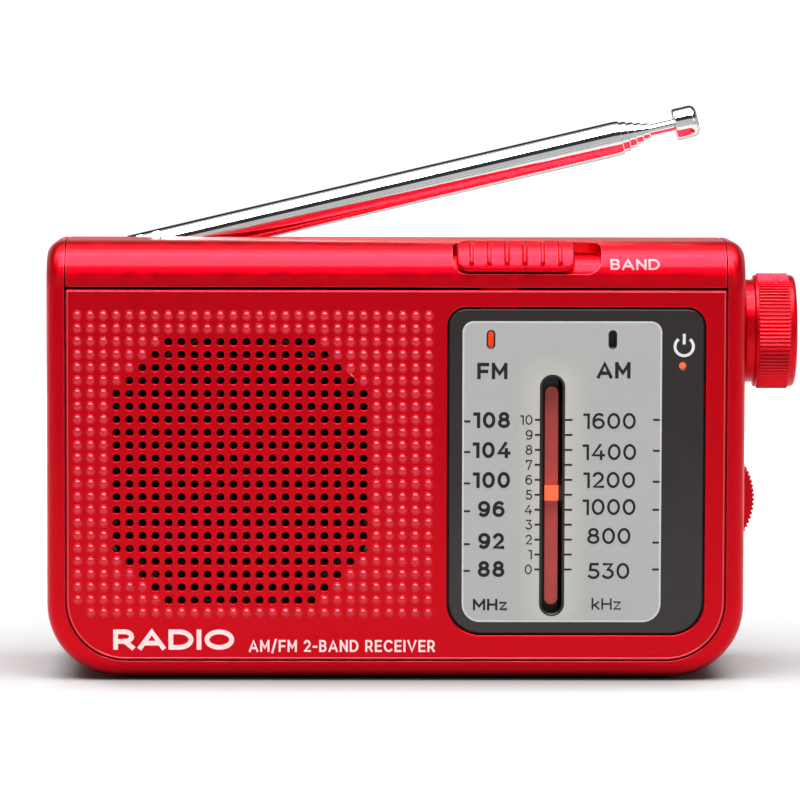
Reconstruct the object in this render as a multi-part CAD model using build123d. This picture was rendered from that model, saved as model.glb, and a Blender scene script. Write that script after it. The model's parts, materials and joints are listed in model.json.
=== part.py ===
"""Transistor pocket radio with a telescopic antenna.

Millimetres. X runs to the right across the front, Y from the front to the back, and Z up.
The origin is on the plane under the feet, midway across the case and midway through its depth.
"""
from build123d import *
from math import acos, cos, pi, radians, sin, sqrt, tan
import os

# ---- case ----
HALF_W = 59.2
HALF_D = 17.0
BODY_BOTTOM = 0.5
TOP_Z = 74.45
WALL = 2.0
EDGE_R = 2.9
BOTTOM_CORNER_R = 12.3
TOP_FRONT_R = 7.6
TOP_SLOPE = 2.2
GROOVE_X = 56.1
GROOVE_TOP_Z = 66.85
GROOVE_BOTTOM_Z = 3.36
GROOVE = 0.5
PART_Y = -3.0
PANEL_BACK = -15.0
PANEL_LIP_W = 2.4
PANEL_LIP_D = 1.6
FOOT_X = 47.4
FOOT_HALF_W = 0.7
FOOT_END_Y = 12.0
BEYOND = 80.0  # well outside the case, for cutting blocks

# ---- ledge at the rear of the top, where the antenna lies ----
LEDGE_Y = 7.0
LEDGE_Z = 66.3
LEDGE_EDGE_R = 1.0

# ---- grille ----
PITCH = 2.2
GRILLE_X0 = -53.9
GRILLE_Z0 = 62.19
GRILLE_COLS = 28
GRILLE_ROWS = 24
HOLE_R = 0.62
PIP_R = 0.62
PIP_H = 0.3
FIRST_HOLE_COL = {2: 7, 3: 6, 4: 5, 5: 4, 19: 4, 20: 5, 21: 6, 22: 7}
OPEN_ROWS = range(2, 23)
USUAL_FIRST_COL = 3
GRILLE_CENTRE_COL = 12.5

# ---- dial ----
LENS = (8.9, 52.1, 8.07, 63.45)
LENS_TOP_R = 2.9
LENS_BOTTOM_R = 5.5
LENS_FRONT = -16.9
LENS_BACK = -15.4
BACKING = (6.5, 53.3, 5.9, 64.2)
BACKING_BOTTOM_R = 7.6
BACKING_BACK = -13.0
SLOT_X = 26.45
SLOT_W = 4.0
SLOT_Z = (11.24, 52.16)
BAR_X = (25.25, 27.59)
BAR_Z = (12.7, 50.04)
POINTER_Z = 31.9
POINTER_H = 2.56
FM_X = 16.0
AM_X = 36.6
PILL_Z = 58.25
PILL_W = 1.5
PILL_H = 3.25
BAND_TRAVEL = 4.0
LED_X = 48.46
LED_Z = 53.8

# ---- tuning drive ----
KNOB_Z = 58.3
KNOB_R = 9.88
KNOB_X = (61.35, 68.5)
COLLAR_R = 8.8
KNOB_RIBS = 92
KNOB_RIB_H = 0.25
KNOB_RIB_W = 0.36
KNOB_CHAMFER = 0.7
SHAFT_R = 1.5
FIT = 0.05
BUSH_R = 2.9
CAPSTAN_R = 2.3
PULLEY_PIN_R = 0.75
MODULE = 0.5
PINION_TEETH = 12
GEAR_TEETH = 36
BACKLASH = 0.08
PRESSURE_ANGLE = 20.0
GEAR_Y = -3.0
GEAR_X = (19.0, 21.5)
GEAR_SHAFT_R = 1.5
GEAR_HOLE_R = 2.0
GEAR_HOLES_AT = 5.0
PULLEY_Y = -7.75
PULLEY_Z = {"upper": 56.5, "lower": 9.0}
PULLEY_GROOVE_R = 2.55
PULLEY_FLANGE_R = 3.8
CORD_R = 0.25
CORD_ON_CAPSTAN = 2.75
CORD_ON_PULLEY = 3.0
GUIDE_X = 30.5
GUIDE_Y = -9.5
BRACKET_X = (16.5, 17.5)
CAPACITOR_X = 5.6
CAPACITOR_HALF_W = 8.75

# ---- volume wheel ----
WHEEL_X = 50.7
WHEEL_Z = 29.8
WHEEL_R = 11.0
WHEEL_Y = (-5.0, -1.0)
WHEEL_TEETH = 86
TOOTH_DEPTH = 0.37

# ---- band switch on the rounded front edge of the top ----
SWITCH_SLOT_X = (9.5, 34.7)
SWITCH_KNOB_X = (10.2, 30.2)
SWITCH_ANGLES = (18.5, 80.0)
SWITCH_KNOB_ANGLES = (21.5, 75.5)
SWITCH_RIB_ANGLES = (29.0, 65.0)
SLIDER_ANGLES = (0.0, 96.0)
SWITCH_CORNER_R = 2.2
SWITCH_RIBS = 6
SWITCH_RIB_PITCH = 3.0
SWITCH_RIB_HALF_W = 0.4
ROUND_Y = -HALF_D + TOP_FRONT_R
ROUND_Z = TOP_Z - TOP_FRONT_R

# ---- speaker ----
SPEAKER_X = -26.4
SPEAKER_Z = 35.8
SPEAKER_R = 25.0
GASKET_T = 0.6
BASKET_DEPTH = 7.4
MAGNET_R = 14.0
MAGNET_DEPTH = 6.0
CLAMPS_AT = 27.2

# ---- battery bay ----
CELL_R = 7.25
CELL_LENGTH = 50.5
CELL_Y = 7.6
CELL_Z = 10.7
BAY = (-54.0, 54.0, -1.3, 15.0, 2.6, 18.4)
DOOR_X = 51.0
DOOR_TOP = 20.5
DOOR_FRONT = 15.1
DOOR_PIVOT_Y = (DOOR_FRONT + HALF_D) / 2
DOOR_PIVOT_Z = 3.6
DOOR_NOSE_R = (HALF_D - DOOR_FRONT) / 2
DOOR_PIN_R = 0.4
DOOR_PIN_X = 6.3
DOOR_CORNER_R = 2.0
HINGE_X = (-40.0, 40.0)
EAR_X = 5.3
EAR_HALF_W = 1.0
FINGER_GROOVES = 5
FINGER_GROOVE_PITCH = 1.1

# ---- circuit board ----
PCB_Y = (7.5, 9.1)
PCB = (-10.0, 56.0, 20.6, 61.2)
CAN_HALF_W = 3.5
CAN_HEIGHT = 5.0

# ---- antenna ----
PIVOT_X = -50.3
PIVOT_Y = 11.0
PIVOT_Z = 69.63
REST_ANGLE = 13.34
TURRET_R = 3.4
EYE_R = 2.2
EYE_T = 2.5
FOLD_PIN_R = 0.95
TUBE_START = 4.8
TUBE_END = 92.0
TUBE_RADII = (3.0, 2.6, 2.2, 1.8, 1.4)
TUBE_WALL = 0.3
ROD_R = 1.02
STEP_OUT = 1.25
LIP = 0.5
TIP = (101.7, 105.6)
TIP_R = 2.75

# ---- earphone jack on the left side, ferrite rod, screws ----
JACK_Y = 2.0
JACK_Z = 45.0
JACK_R = 1.75
JACK_NECK_R = 3.0
JACK_BODY_R = 4.0
JACK_END_X = -46.0
FERRITE_Y = -1.0
FERRITE_Z = 66.6
FERRITE_R = 4.0
SCREWS = ((-53.0, 57.0), (53.0, 48.2), (3.4, 24.0))
SCREW_R = 1.05
SCREW_DEPTH = 7.0
SCREW_HEAD_R = 2.2
SCREW_SINK = 1.4
SCREW_SLOT = 0.25
POST_R = 2.6


def box(x0, x1, y0, y1, z0, z1):
    """A block between two opposite corners."""
    return Pos((x0 + x1) / 2, (y0 + y1) / 2, (z0 + z1) / 2) * Box(x1 - x0, y1 - y0, z1 - z0)


def rod_x(r, x0, x1, y, z):
    """A cylinder along X."""
    return Pos((x0 + x1) / 2, y, z) * Rot(0, 90, 0) * Cylinder(r, x1 - x0)


def rod_y(r, y0, y1, x, z):
    """A cylinder along Y."""
    return Pos(x, (y0 + y1) / 2, z) * Rot(90, 0, 0) * Cylinder(r, y1 - y0)


def rod_z(r, z0, z1, x, y):
    """A cylinder along Z."""
    return Pos(x, y, (z0 + z1) / 2) * Cylinder(r, z1 - z0)


def slab(sketch, y0, y1):
    """A flat sketch, drawn as seen from the front, given a thickness from y0 to y1."""
    return Pos(0, y1, 0) * extrude(Plane.XZ * sketch, amount=y1 - y0)


def rounded(x0, x1, z0, z1, top_r, bottom_r):
    """A front-view rectangle whose top corners and bottom corners have their own radii."""
    shape = Pos((x0 + x1) / 2, (z0 + z1) / 2) * Rectangle(x1 - x0, z1 - z0)
    if bottom_r:
        shape = fillet(shape.vertices().group_by(Axis.Y)[0], bottom_r)
    if top_r:
        shape = fillet(shape.vertices().group_by(Axis.Y)[-1], top_r)
    return shape


def pill(x, z, width, height):
    """A front-view slot with full round ends, standing upright."""
    return Pos(x, z) * Rot(0, 0, 90) * SlotOverall(height, width)


def arc_block(r0, r1, angle0, angle1, x0, x1):
    """A bent plate round the top front edge: angles are counted up from the front."""
    def point(r, angle):
        return (ROUND_Y - r * cos(radians(angle)), ROUND_Z + r * sin(radians(angle)))
    middle = (angle0 + angle1) / 2
    outline = Curve() + [
        ThreePointArc(point(r1, angle0), point(r1, middle), point(r1, angle1)),
        Line(point(r1, angle1), point(r0, angle1)),
        ThreePointArc(point(r0, angle1), point(r0, middle), point(r0, angle0)),
        Line(point(r0, angle0), point(r1, angle0)),
    ]
    return Pos(x0, 0, 0) * extrude(Plane.YZ * make_face(outline), amount=x1 - x0)


def group(solids):
    """Several equal or related solids kept in one node."""
    return Compound(children=list(solids))


def save(name, shape):
    shape.label = name
    export_step(shape, f"parts/{name}.step")


# ---------------------------------------------------------------- case

def case_body(inset):
    """The whole outside of the case, or its inside when the walls' thickness is the inset."""
    half_w, half_d = HALF_W - inset, HALF_D - inset
    low, r = BODY_BOTTOM + inset, TOP_FRONT_R - inset
    slope = radians(TOP_SLOPE)
    rear_r = EDGE_R if inset == 0 else EDGE_R - WALL + 0.1
    top = TOP_Z - inset
    rear_top = top - (half_d - ROUND_Y) * tan(slope)
    side = Curve() + [
        Line((-half_d, low), (-half_d, ROUND_Z)),
        ThreePointArc((-half_d, ROUND_Z), (ROUND_Y - r * cos(pi / 4), ROUND_Z + r * sin(pi / 4)), (ROUND_Y, top)),
        Line((ROUND_Y, top), (half_d, rear_top)),
        Line((half_d, rear_top), (half_d, low)),
        Line((half_d, low), (-half_d, low)),
    ]
    profile = make_face(side)
    rear_corner = profile.vertices().sort_by_distance((half_d, rear_top, 0))[0]
    profile = fillet(rear_corner, rear_r)
    body = Pos(-half_w, 0, 0) * extrude(Plane.YZ * profile, amount=2 * half_w)
    bottom_edges = [e for e in body.edges().filter_by(Axis.Y)
                    if e.center().Z < low + 0.01 and abs(abs(e.center().X) - half_w) < 0.01]
    body = fillet(bottom_edges, BOTTOM_CORNER_R - inset)
    if inset == 0:
        body = fillet([e for e in body.edges() if is_rim(e)], EDGE_R)
    ledge_y, ledge_z = LEDGE_Y - inset, LEDGE_Z - inset
    body = body - box(-BEYOND, BEYOND, ledge_y, BEYOND, ledge_z, BEYOND)
    if inset == 0:
        body = fillet(body.edges().filter_by(Axis.X).sort_by_distance((0, HALF_D, LEDGE_Z))[0], LEDGE_EDGE_R)
    return body


def is_rim(edge):
    """The sharp edges round the sides and the bottom, leaving the seams of the rounded top."""
    c = edge.center()
    on_end = abs(abs(c.Y) - HALF_D) < 0.01 and not (abs(c.X) < 1 and c.Z > 30)
    on_side = abs(abs(c.X) - HALF_W) < 0.01 and not c.Z < BODY_BOTTOM + BOTTOM_CORNER_R + 0.1
    return on_end or on_side


def panel_outline(gap):
    """The front panel's outline: square above, round at the bottom corners."""
    return rounded(-GROOVE_X + gap, GROOVE_X - gap, GROOVE_BOTTOM_Z + gap, GROOVE_TOP_Z - gap, 0,
                   BOTTOM_CORNER_R - 2.0 - gap)


def rib_feet(y0, y1):
    """The thin moulded ribs under the case that it stands on."""
    return [box(x - FOOT_HALF_W, x + FOOT_HALF_W, y0, y1, 0, BODY_BOTTOM + 1.0) for x in (-FOOT_X, FOOT_X)]


def wheel_slot():
    """The upright opening in the right side for the volume wheel."""
    half = sqrt(WHEEL_R**2 - (HALF_W - WALL - WHEEL_X) ** 2) + 0.6
    return box(HALF_W - WALL - 1, HALF_W + 1, WHEEL_Y[0] - 0.4, WHEEL_Y[1] + 0.4, WHEEL_Z - half, WHEEL_Z + half)


def screw_post(x, z, y0, y1):
    return rod_y(POST_R, y0, y1, x, z)


def screw_hole(x, z):
    """The blind hole that a case screw cuts its thread in, from the parting plane forwards."""
    return rod_y(SCREW_R + 0.05, PART_Y - SCREW_DEPTH - 1, PART_Y + 1, x, z)


def make_case():
    shell = case_body(0) - case_body(WALL)
    half_gap = GROOVE / 2
    cover_zone = box(-GROOVE_X, GROOVE_X, -BEYOND, LEDGE_Y + 0.01, GROOVE_TOP_Z, BEYOND)
    panel_zone = slab(panel_outline(0), -BEYOND, PANEL_BACK)
    front_half = box(-BEYOND, BEYOND, -BEYOND, PART_Y, -BEYOND, BEYOND)

    # front frame: a U-shaped band with an end cap on each side of the top cover
    frame = (shell & front_half) - cover_zone - panel_zone
    lip = slab(panel_outline(-1.0), PANEL_BACK, PANEL_BACK + PANEL_LIP_D) - slab(panel_outline(PANEL_LIP_W), -20, 0)
    lip = lip - box(-BEYOND, BEYOND, -20, 0, GROOVE_TOP_Z - PANEL_LIP_W, BEYOND)
    frame = frame + (lip & case_body(WALL / 2))
    for x, z in SCREWS[:2]:
        frame = frame + (screw_post(x, z, PANEL_BACK + 1.0, PART_Y) & case_body(WALL / 2))
    frame = frame + rib_feet(-12.0, PART_Y) - wheel_slot()
    for x, z in SCREWS[:2]:
        frame = frame - screw_hole(x, z)
    save("front_frame", frame)

    # front panel
    plate = panel_outline(half_gap)
    holes, pips = [], []
    for row in range(GRILLE_ROWS):
        for col in range(GRILLE_COLS):
            if (row, col) == (GRILLE_ROWS - 1, 0):
                continue
            x, z = GRILLE_X0 + PITCH * col, GRILLE_Z0 - PITCH * row
            first = FIRST_HOLE_COL.get(row, USUAL_FIRST_COL)
            is_open = row in OPEN_ROWS and first <= col <= 2 * GRILLE_CENTRE_COL - first
            (holes if is_open else pips).append((x, z))
    x0, x1, z0, z1 = LENS
    window = rounded(x0 - half_gap, x1 + half_gap, z0 - half_gap, z1 + half_gap, LENS_TOP_R, LENS_BOTTOM_R)
    plate = plate - window - [Pos(x, z) * Circle(HOLE_R) for x, z in holes]
    domes = Sketch() + [Pos(x, z) * Circle(PIP_R) for x, z in pips]
    panel = slab(plate, -HALF_D, PANEL_BACK) + slab(domes, -HALF_D - PIP_H, -HALF_D + 0.5)
    x, z = SCREWS[2]
    panel = panel + screw_post(x, z, PANEL_BACK - 0.5, PART_Y) - screw_hole(x, z)
    save("front_panel", panel)

    # top cover, with the opening for the band switch
    cover_x = GROOVE_X - half_gap
    cover = shell & box(-cover_x, cover_x, -BEYOND, LEDGE_Y + 1, GROOVE_TOP_Z + half_gap, BEYOND)
    opening = arc_block(TOP_FRONT_R - WALL - 0.5, TOP_FRONT_R + 2, *SWITCH_ANGLES, *SWITCH_SLOT_X)
    opening = fillet([e for e in opening.edges() if is_corner(e, SWITCH_SLOT_X)], SWITCH_CORNER_R + 0.4)
    save("top_cover", cover - opening)

    # rear case
    rear = (shell - front_half) - cover_zone
    rear = rear + rib_feet(PART_Y, FOOT_END_Y)
    cross_x = FOOT_X + FOOT_HALF_W
    rear = rear + box(-cross_x, cross_x, FOOT_END_Y - 2 * FOOT_HALF_W, FOOT_END_Y, 0, BODY_BOTTOM + 1.0)
    for x, z in SCREWS:
        rear = rear + screw_post(x, z, PART_Y, HALF_D - 1.0)
        rear = rear - rod_y(SCREW_R + 0.25, PART_Y - 1, HALF_D + 1, x, z)
        rear = rear - rod_y(SCREW_HEAD_R + 0.2, HALF_D - SCREW_SINK, HALF_D + 1, x, z)
    rear = rear + rod_x(BUSH_R, HALF_W - WALL - 2.2, HALF_W - 1, 0, KNOB_Z)
    rear = rear - rod_x(SHAFT_R + FIT, 50, 70, 0, KNOB_Z)
    rear = rear - wheel_slot() - rod_z(SHAFT_R + FIT, 60, 70, PIVOT_X, PIVOT_Y)
    rear = rear - rod_x(JACK_NECK_R, -HALF_W - 1, -HALF_W + WALL + 1, JACK_Y, JACK_Z)
    rear = rear - door_opening()
    for x in HINGE_X:
        for ear_x in (x - EAR_X, x + EAR_X):
            e0, e1 = ear_x - EAR_HALF_W, ear_x + EAR_HALF_W
            rear = rear + box(e0, e1, DOOR_PIVOT_Y - 0.8, DOOR_PIVOT_Y + 0.7, BODY_BOTTOM + 1, DOOR_PIVOT_Z)
            rear = rear + rod_x(0.8, e0, e1, DOOR_PIVOT_Y, DOOR_PIVOT_Z)
        rear = rear - rod_x(DOOR_PIN_R, x - DOOR_PIN_X, x + DOOR_PIN_X, DOOR_PIVOT_Y, DOOR_PIVOT_Z)
    save("rear_case", rear)

    screws = []
    for x, z in SCREWS:
        head = rod_y(SCREW_HEAD_R, HALF_D - SCREW_SINK, HALF_D - 0.2, x, z)
        for half_x, half_z in ((1.4, SCREW_SLOT), (SCREW_SLOT, 1.4)):
            head = head - box(x - half_x, x + half_x, HALF_D - 0.7, HALF_D, z - half_z, z + half_z)
        screws.append(head + rod_y(SCREW_R, PART_Y - SCREW_DEPTH, HALF_D - SCREW_SINK, x, z))
    save("case_screws", group(screws))


def is_corner(edge, ends):
    """The four short edges that run inwards at the corners of the switch's knob or opening."""
    c = edge.center()
    at_end = min(abs(c.X - ends[0]), abs(c.X - ends[1])) < 0.01
    return at_end and edge.geom_type == GeomType.LINE


# ---------------------------------------------------------------- battery bay and door

def door_opening():
    """The hole in the rear wall that the battery door closes."""
    low = DOOR_PIVOT_Z - DOOR_NOSE_R - 0.2
    return box(-DOOR_X - 0.25, DOOR_X + 0.25, 14.0, 20, low, DOOR_TOP + 0.25)


def make_battery_bay():
    # the door's rounded lower edge is its hinge barrel, notched where the case's ears hold the pins
    door = box(-DOOR_X, DOOR_X, DOOR_FRONT, HALF_D, DOOR_PIVOT_Z, DOOR_TOP)
    door = fillet(door.edges().filter_by(Axis.Y).group_by(Axis.Z)[-1], DOOR_CORNER_R)
    door = door + rod_x(DOOR_NOSE_R, -DOOR_X, DOOR_X, DOOR_PIVOT_Y, DOOR_PIVOT_Z)
    for x in HINGE_X:
        for ear_x in (x - EAR_X, x + EAR_X):
            half = EAR_HALF_W + 0.2
            door = door - box(ear_x - half, ear_x + half, 14, 18, 0, DOOR_PIVOT_Z + 1.2)
        door = door - rod_x(DOOR_PIN_R + FIT, x - DOOR_PIN_X - 0.2, x + DOOR_PIN_X + 0.2, DOOR_PIVOT_Y, DOOR_PIVOT_Z)
    for i in range(FINGER_GROOVES):
        z = DOOR_TOP - 2.6 - FINGER_GROOVE_PITCH * i
        door = door - box(-6, 6, HALF_D - 0.4, HALF_D + 1, z - 0.3, z + 0.3)
    save("battery_door", door)
    pins = [rod_x(DOOR_PIN_R, x - DOOR_PIN_X, x + DOOR_PIN_X, DOOR_PIVOT_Y, DOOR_PIVOT_Z) for x in HINGE_X]
    save("door_pins", group(pins))

    x0, x1, y0, y1, z0, z1 = BAY
    tray = box(x0, x1, y0, y1 - 1.2, z0, z1) - box(x0 + 1, x1 - 1, y0 + 1, y1 + 1, z0 + 0.6, z1 - 0.4)
    tray = tray & case_body(WALL)
    save("battery_tray", tray)

    gap = 0.2
    body_length = CELL_LENGTH - 1.6
    for name, x in (("battery_left", -gap - body_length), ("battery_right", gap)):
        cell = rod_x(CELL_R, x, x + body_length, CELL_Y, CELL_Z)
        cell = fillet(cell.edges().filter_by(GeomType.CIRCLE), 0.6)
        if x > 0:
            cell = cell + rod_x(2.7, x + body_length, x + CELL_LENGTH - gap, CELL_Y, CELL_Z)
        save(name, cell)

    # a springy plate at the plus end, a coil spring on a plate at the minus end
    plus_x, minus_x = CELL_LENGTH, -gap - body_length
    plus = box(plus_x, plus_x + 0.4, CELL_Y - 4, CELL_Y + 4, CELL_Z - 4, CELL_Z + 4)
    plus = plus + box(plus_x, x1 - 1, CELL_Y - 4, CELL_Y + 4, CELL_Z + 3.6, CELL_Z + 4)
    plate = box(x0 + 1.0, x0 + 1.4, CELL_Y - 4, CELL_Y + 4, CELL_Z - 4, CELL_Z + 4)
    wire_r = 0.25
    length = minus_x - x0 - 1.4 - 2 * wire_r
    path = Helix(pitch=length / 4, height=length, radius=3.0)
    wire = sweep(Plane(origin=path @ 0, z_dir=path % 0) * Circle(wire_r), path=path)
    spring = Pos(x0 + 1.4 + wire_r, CELL_Y, CELL_Z) * Rot(0, 90, 0) * wire
    save("battery_contacts", group([plus, plate, spring]))


# ---------------------------------------------------------------- dial

def make_dial():
    x0, x1, z0, z1 = LENS
    outline = rounded(x0, x1, z0, z1, LENS_TOP_R, LENS_BOTTOM_R)
    lens = slab(outline, LENS_FRONT, LENS_BACK)
    save("dial_lens", fillet(lens.faces().sort_by(Axis.Y)[0].edges(), 0.4))

    slot = pill(SLOT_X, (SLOT_Z[0] + SLOT_Z[1]) / 2, SLOT_W, SLOT_Z[1] - SLOT_Z[0])
    windows = [pill(x, PILL_Z, PILL_W, PILL_H) for x in (FM_X, AM_X)]
    lamp = Pos(LED_X, LED_Z) * Circle(0.9)
    save("scale_plate", slab(outline - slot - windows - lamp, LENS_BACK, LENS_BACK + 0.4))

    bx0, bx1, bz0, bz1 = BACKING
    backing = slab(rounded(bx0, bx1, bz0, bz1, 3.0, BACKING_BOTTOM_R) - slot, PANEL_BACK, BACKING_BACK)
    backing = backing - box(9.5, 47.0, PANEL_BACK - 1, PANEL_BACK + 1.0, PILL_Z - 3.2, PILL_Z + 3.2)
    backing = backing - box(12.0, 32.0, PANEL_BACK - 1, PANEL_BACK + 1.0, PILL_Z, bz1 + 1)
    backing = backing - rod_y(1.7, -16, 0, LED_X, LED_Z) - rod_y(2.9, -16, 0, *SCREWS[1])
    for z0, z1 in ((11.4, 14.0), (50.4, 53.0)):
        backing = backing + box(28.9, 32.5, BACKING_BACK - 0.5, -8.0, z0, z1)
    backing = backing - rod_z(PULLEY_PIN_R, 10.9, 54, GUIDE_X, GUIDE_Y)
    for z in PULLEY_Z.values():
        backing = backing + box(28.0, 29.5, BACKING_BACK - 0.5, PULLEY_Y + 1.6, z - 2.0, z + 2.0)
        backing = backing - rod_x(PULLEY_PIN_R, 27, 30, PULLEY_Y, z)
    save("dial_backing", backing)
    pins = [rod_z(PULLEY_PIN_R, 11.4, 53.0, GUIDE_X, GUIDE_Y)]
    for z in PULLEY_Z.values():
        pins.append(rod_x(PULLEY_PIN_R, 24.6, 29.5, PULLEY_Y, z) + rod_x(1.3, 24.3, 24.9, PULLEY_Y, z))
    save("guide_pins", group(pins))

    bar = box(*BAR_X, -13.9, BACKING_BACK, *BAR_Z)
    bar = bar + box(21.5, BAR_X[1], BACKING_BACK, -12.3, BAR_Z[0] - 2, BAR_Z[1] + 2)
    save("light_guide", bar)
    save("power_led", rod_y(0.86, -15.35, -11.0, LED_X, LED_Z) + rod_y(1.65, -13.6, -9.0, LED_X, LED_Z))

    half = POINTER_H / 2
    save("pointer", box(*BAR_X, -14.8, -14.2, POINTER_Z - half, POINTER_Z + half))
    low, high = POINTER_Z - 2.5, POINTER_Z + 2.5
    carriage = box(BAR_X[1], 28.25, -14.8, -14.2, POINTER_Z - half, POINTER_Z + half)
    carriage = carriage + box(27.8, 28.25, -14.8, -7.5, POINTER_Z - half, POINTER_Z + half)
    carriage = carriage + box(27.8, 32.2, -11.2, -7.8, low, high)
    carriage = carriage + box(25.5, 28.25, -11.6, -9.9, POINTER_Z - half, POINTER_Z + half)
    carriage = carriage - rod_z(PULLEY_PIN_R + FIT, low - 1, high + 1, GUIDE_X, GUIDE_Y)
    cord_y = PULLEY_Y - CORD_ON_PULLEY
    carriage = carriage - rod_z(0.45, low - 1, high + 1, SLOT_X, cord_y)
    save("pointer_carriage", carriage)


def make_cord():
    """The dial cord: a closed loop round the capstan and the two pulleys, on the pointer's line."""
    wheels = [
        (0.0, KNOB_Z, CORD_ON_CAPSTAN),
        (PULLEY_Y, PULLEY_Z["upper"], CORD_ON_PULLEY),
        (PULLEY_Y, PULLEY_Z["lower"], CORD_ON_PULLEY),
    ]
    touches = []
    for i, (y0, z0, r0) in enumerate(wheels):
        y1, z1, r1 = wheels[(i + 1) % 3]
        dy, dz = y1 - y0, z1 - z0
        length = sqrt(dy * dy + dz * dz)
        along = (dy / length, dz / length)
        outwards = (along[1], -along[0])
        lean = (r0 - r1) / length
        upright = sqrt(1 - lean * lean)
        normal = tuple(lean * a + upright * o for a, o in zip(along, outwards))
        touches.append(((y0 + r0 * normal[0], z0 + r0 * normal[1]), (y1 + r1 * normal[0], z1 + r1 * normal[1])))
    pieces = []
    for i, (leave, arrive) in enumerate(touches):
        pieces.append(Line(leave, arrive))
        y, z, r = wheels[(i + 1) % 3]
        following = touches[(i + 1) % 3][0]
        middle = ((arrive[0] + following[0]) / 2 - y, (arrive[1] + following[1]) / 2 - z)
        reach = sqrt(middle[0] ** 2 + middle[1] ** 2)
        crest = (y + r * middle[0] / reach, z + r * middle[1] / reach)
        pieces.append(ThreePointArc(arrive, crest, following))
    loop = Wire([e for p in pieces for e in p.edges()])
    path = Pos(SLOT_X, 0, 0) * (Plane.YZ * loop)
    start = path.edges()[0]
    section = Plane(origin=start @ 0, z_dir=start % 0) * Circle(CORD_R)
    save("dial_cord", sweep(section, path=path))


# ---------------------------------------------------------------- tuning drive

def involute(teeth, backlash, turn):
    """The outline of a spur gear with stub teeth, thinned by the backlash."""
    pitch_r = MODULE * teeth / 2
    base_r = pitch_r * cos(radians(PRESSURE_ANGLE))
    tip_r, root_r = pitch_r + 0.8 * MODULE, pitch_r - 1.15 * MODULE
    half = pi / (2 * teeth) - backlash / (2 * pitch_r) + inv(base_r / pitch_r)
    points = []
    for tooth in range(teeth):
        centre = turn + 2 * pi * tooth / teeth
        flank = []
        for step in range(5):
            r = base_r + (tip_r - base_r) * step / 4
            flank.append((r, half - inv(base_r / r)))
        low = (min(root_r, base_r), half)
        right = [(r, centre - a) for r, a in [low] + flank]
        left = [(r, centre + a) for r, a in reversed([low] + flank)]
        points += [(r * cos(a), r * sin(a)) for r, a in right + left]
    return make_face(Polyline(*points, close=True))


def inv(cosine):
    """The involute function of the angle with this cosine."""
    angle = acos(min(1.0, cosine))
    return tan(angle) - angle


def gear_axis_z():
    centre = MODULE * (PINION_TEETH + GEAR_TEETH) / 2
    return KNOB_Z - sqrt(centre**2 - GEAR_Y**2)


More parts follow.
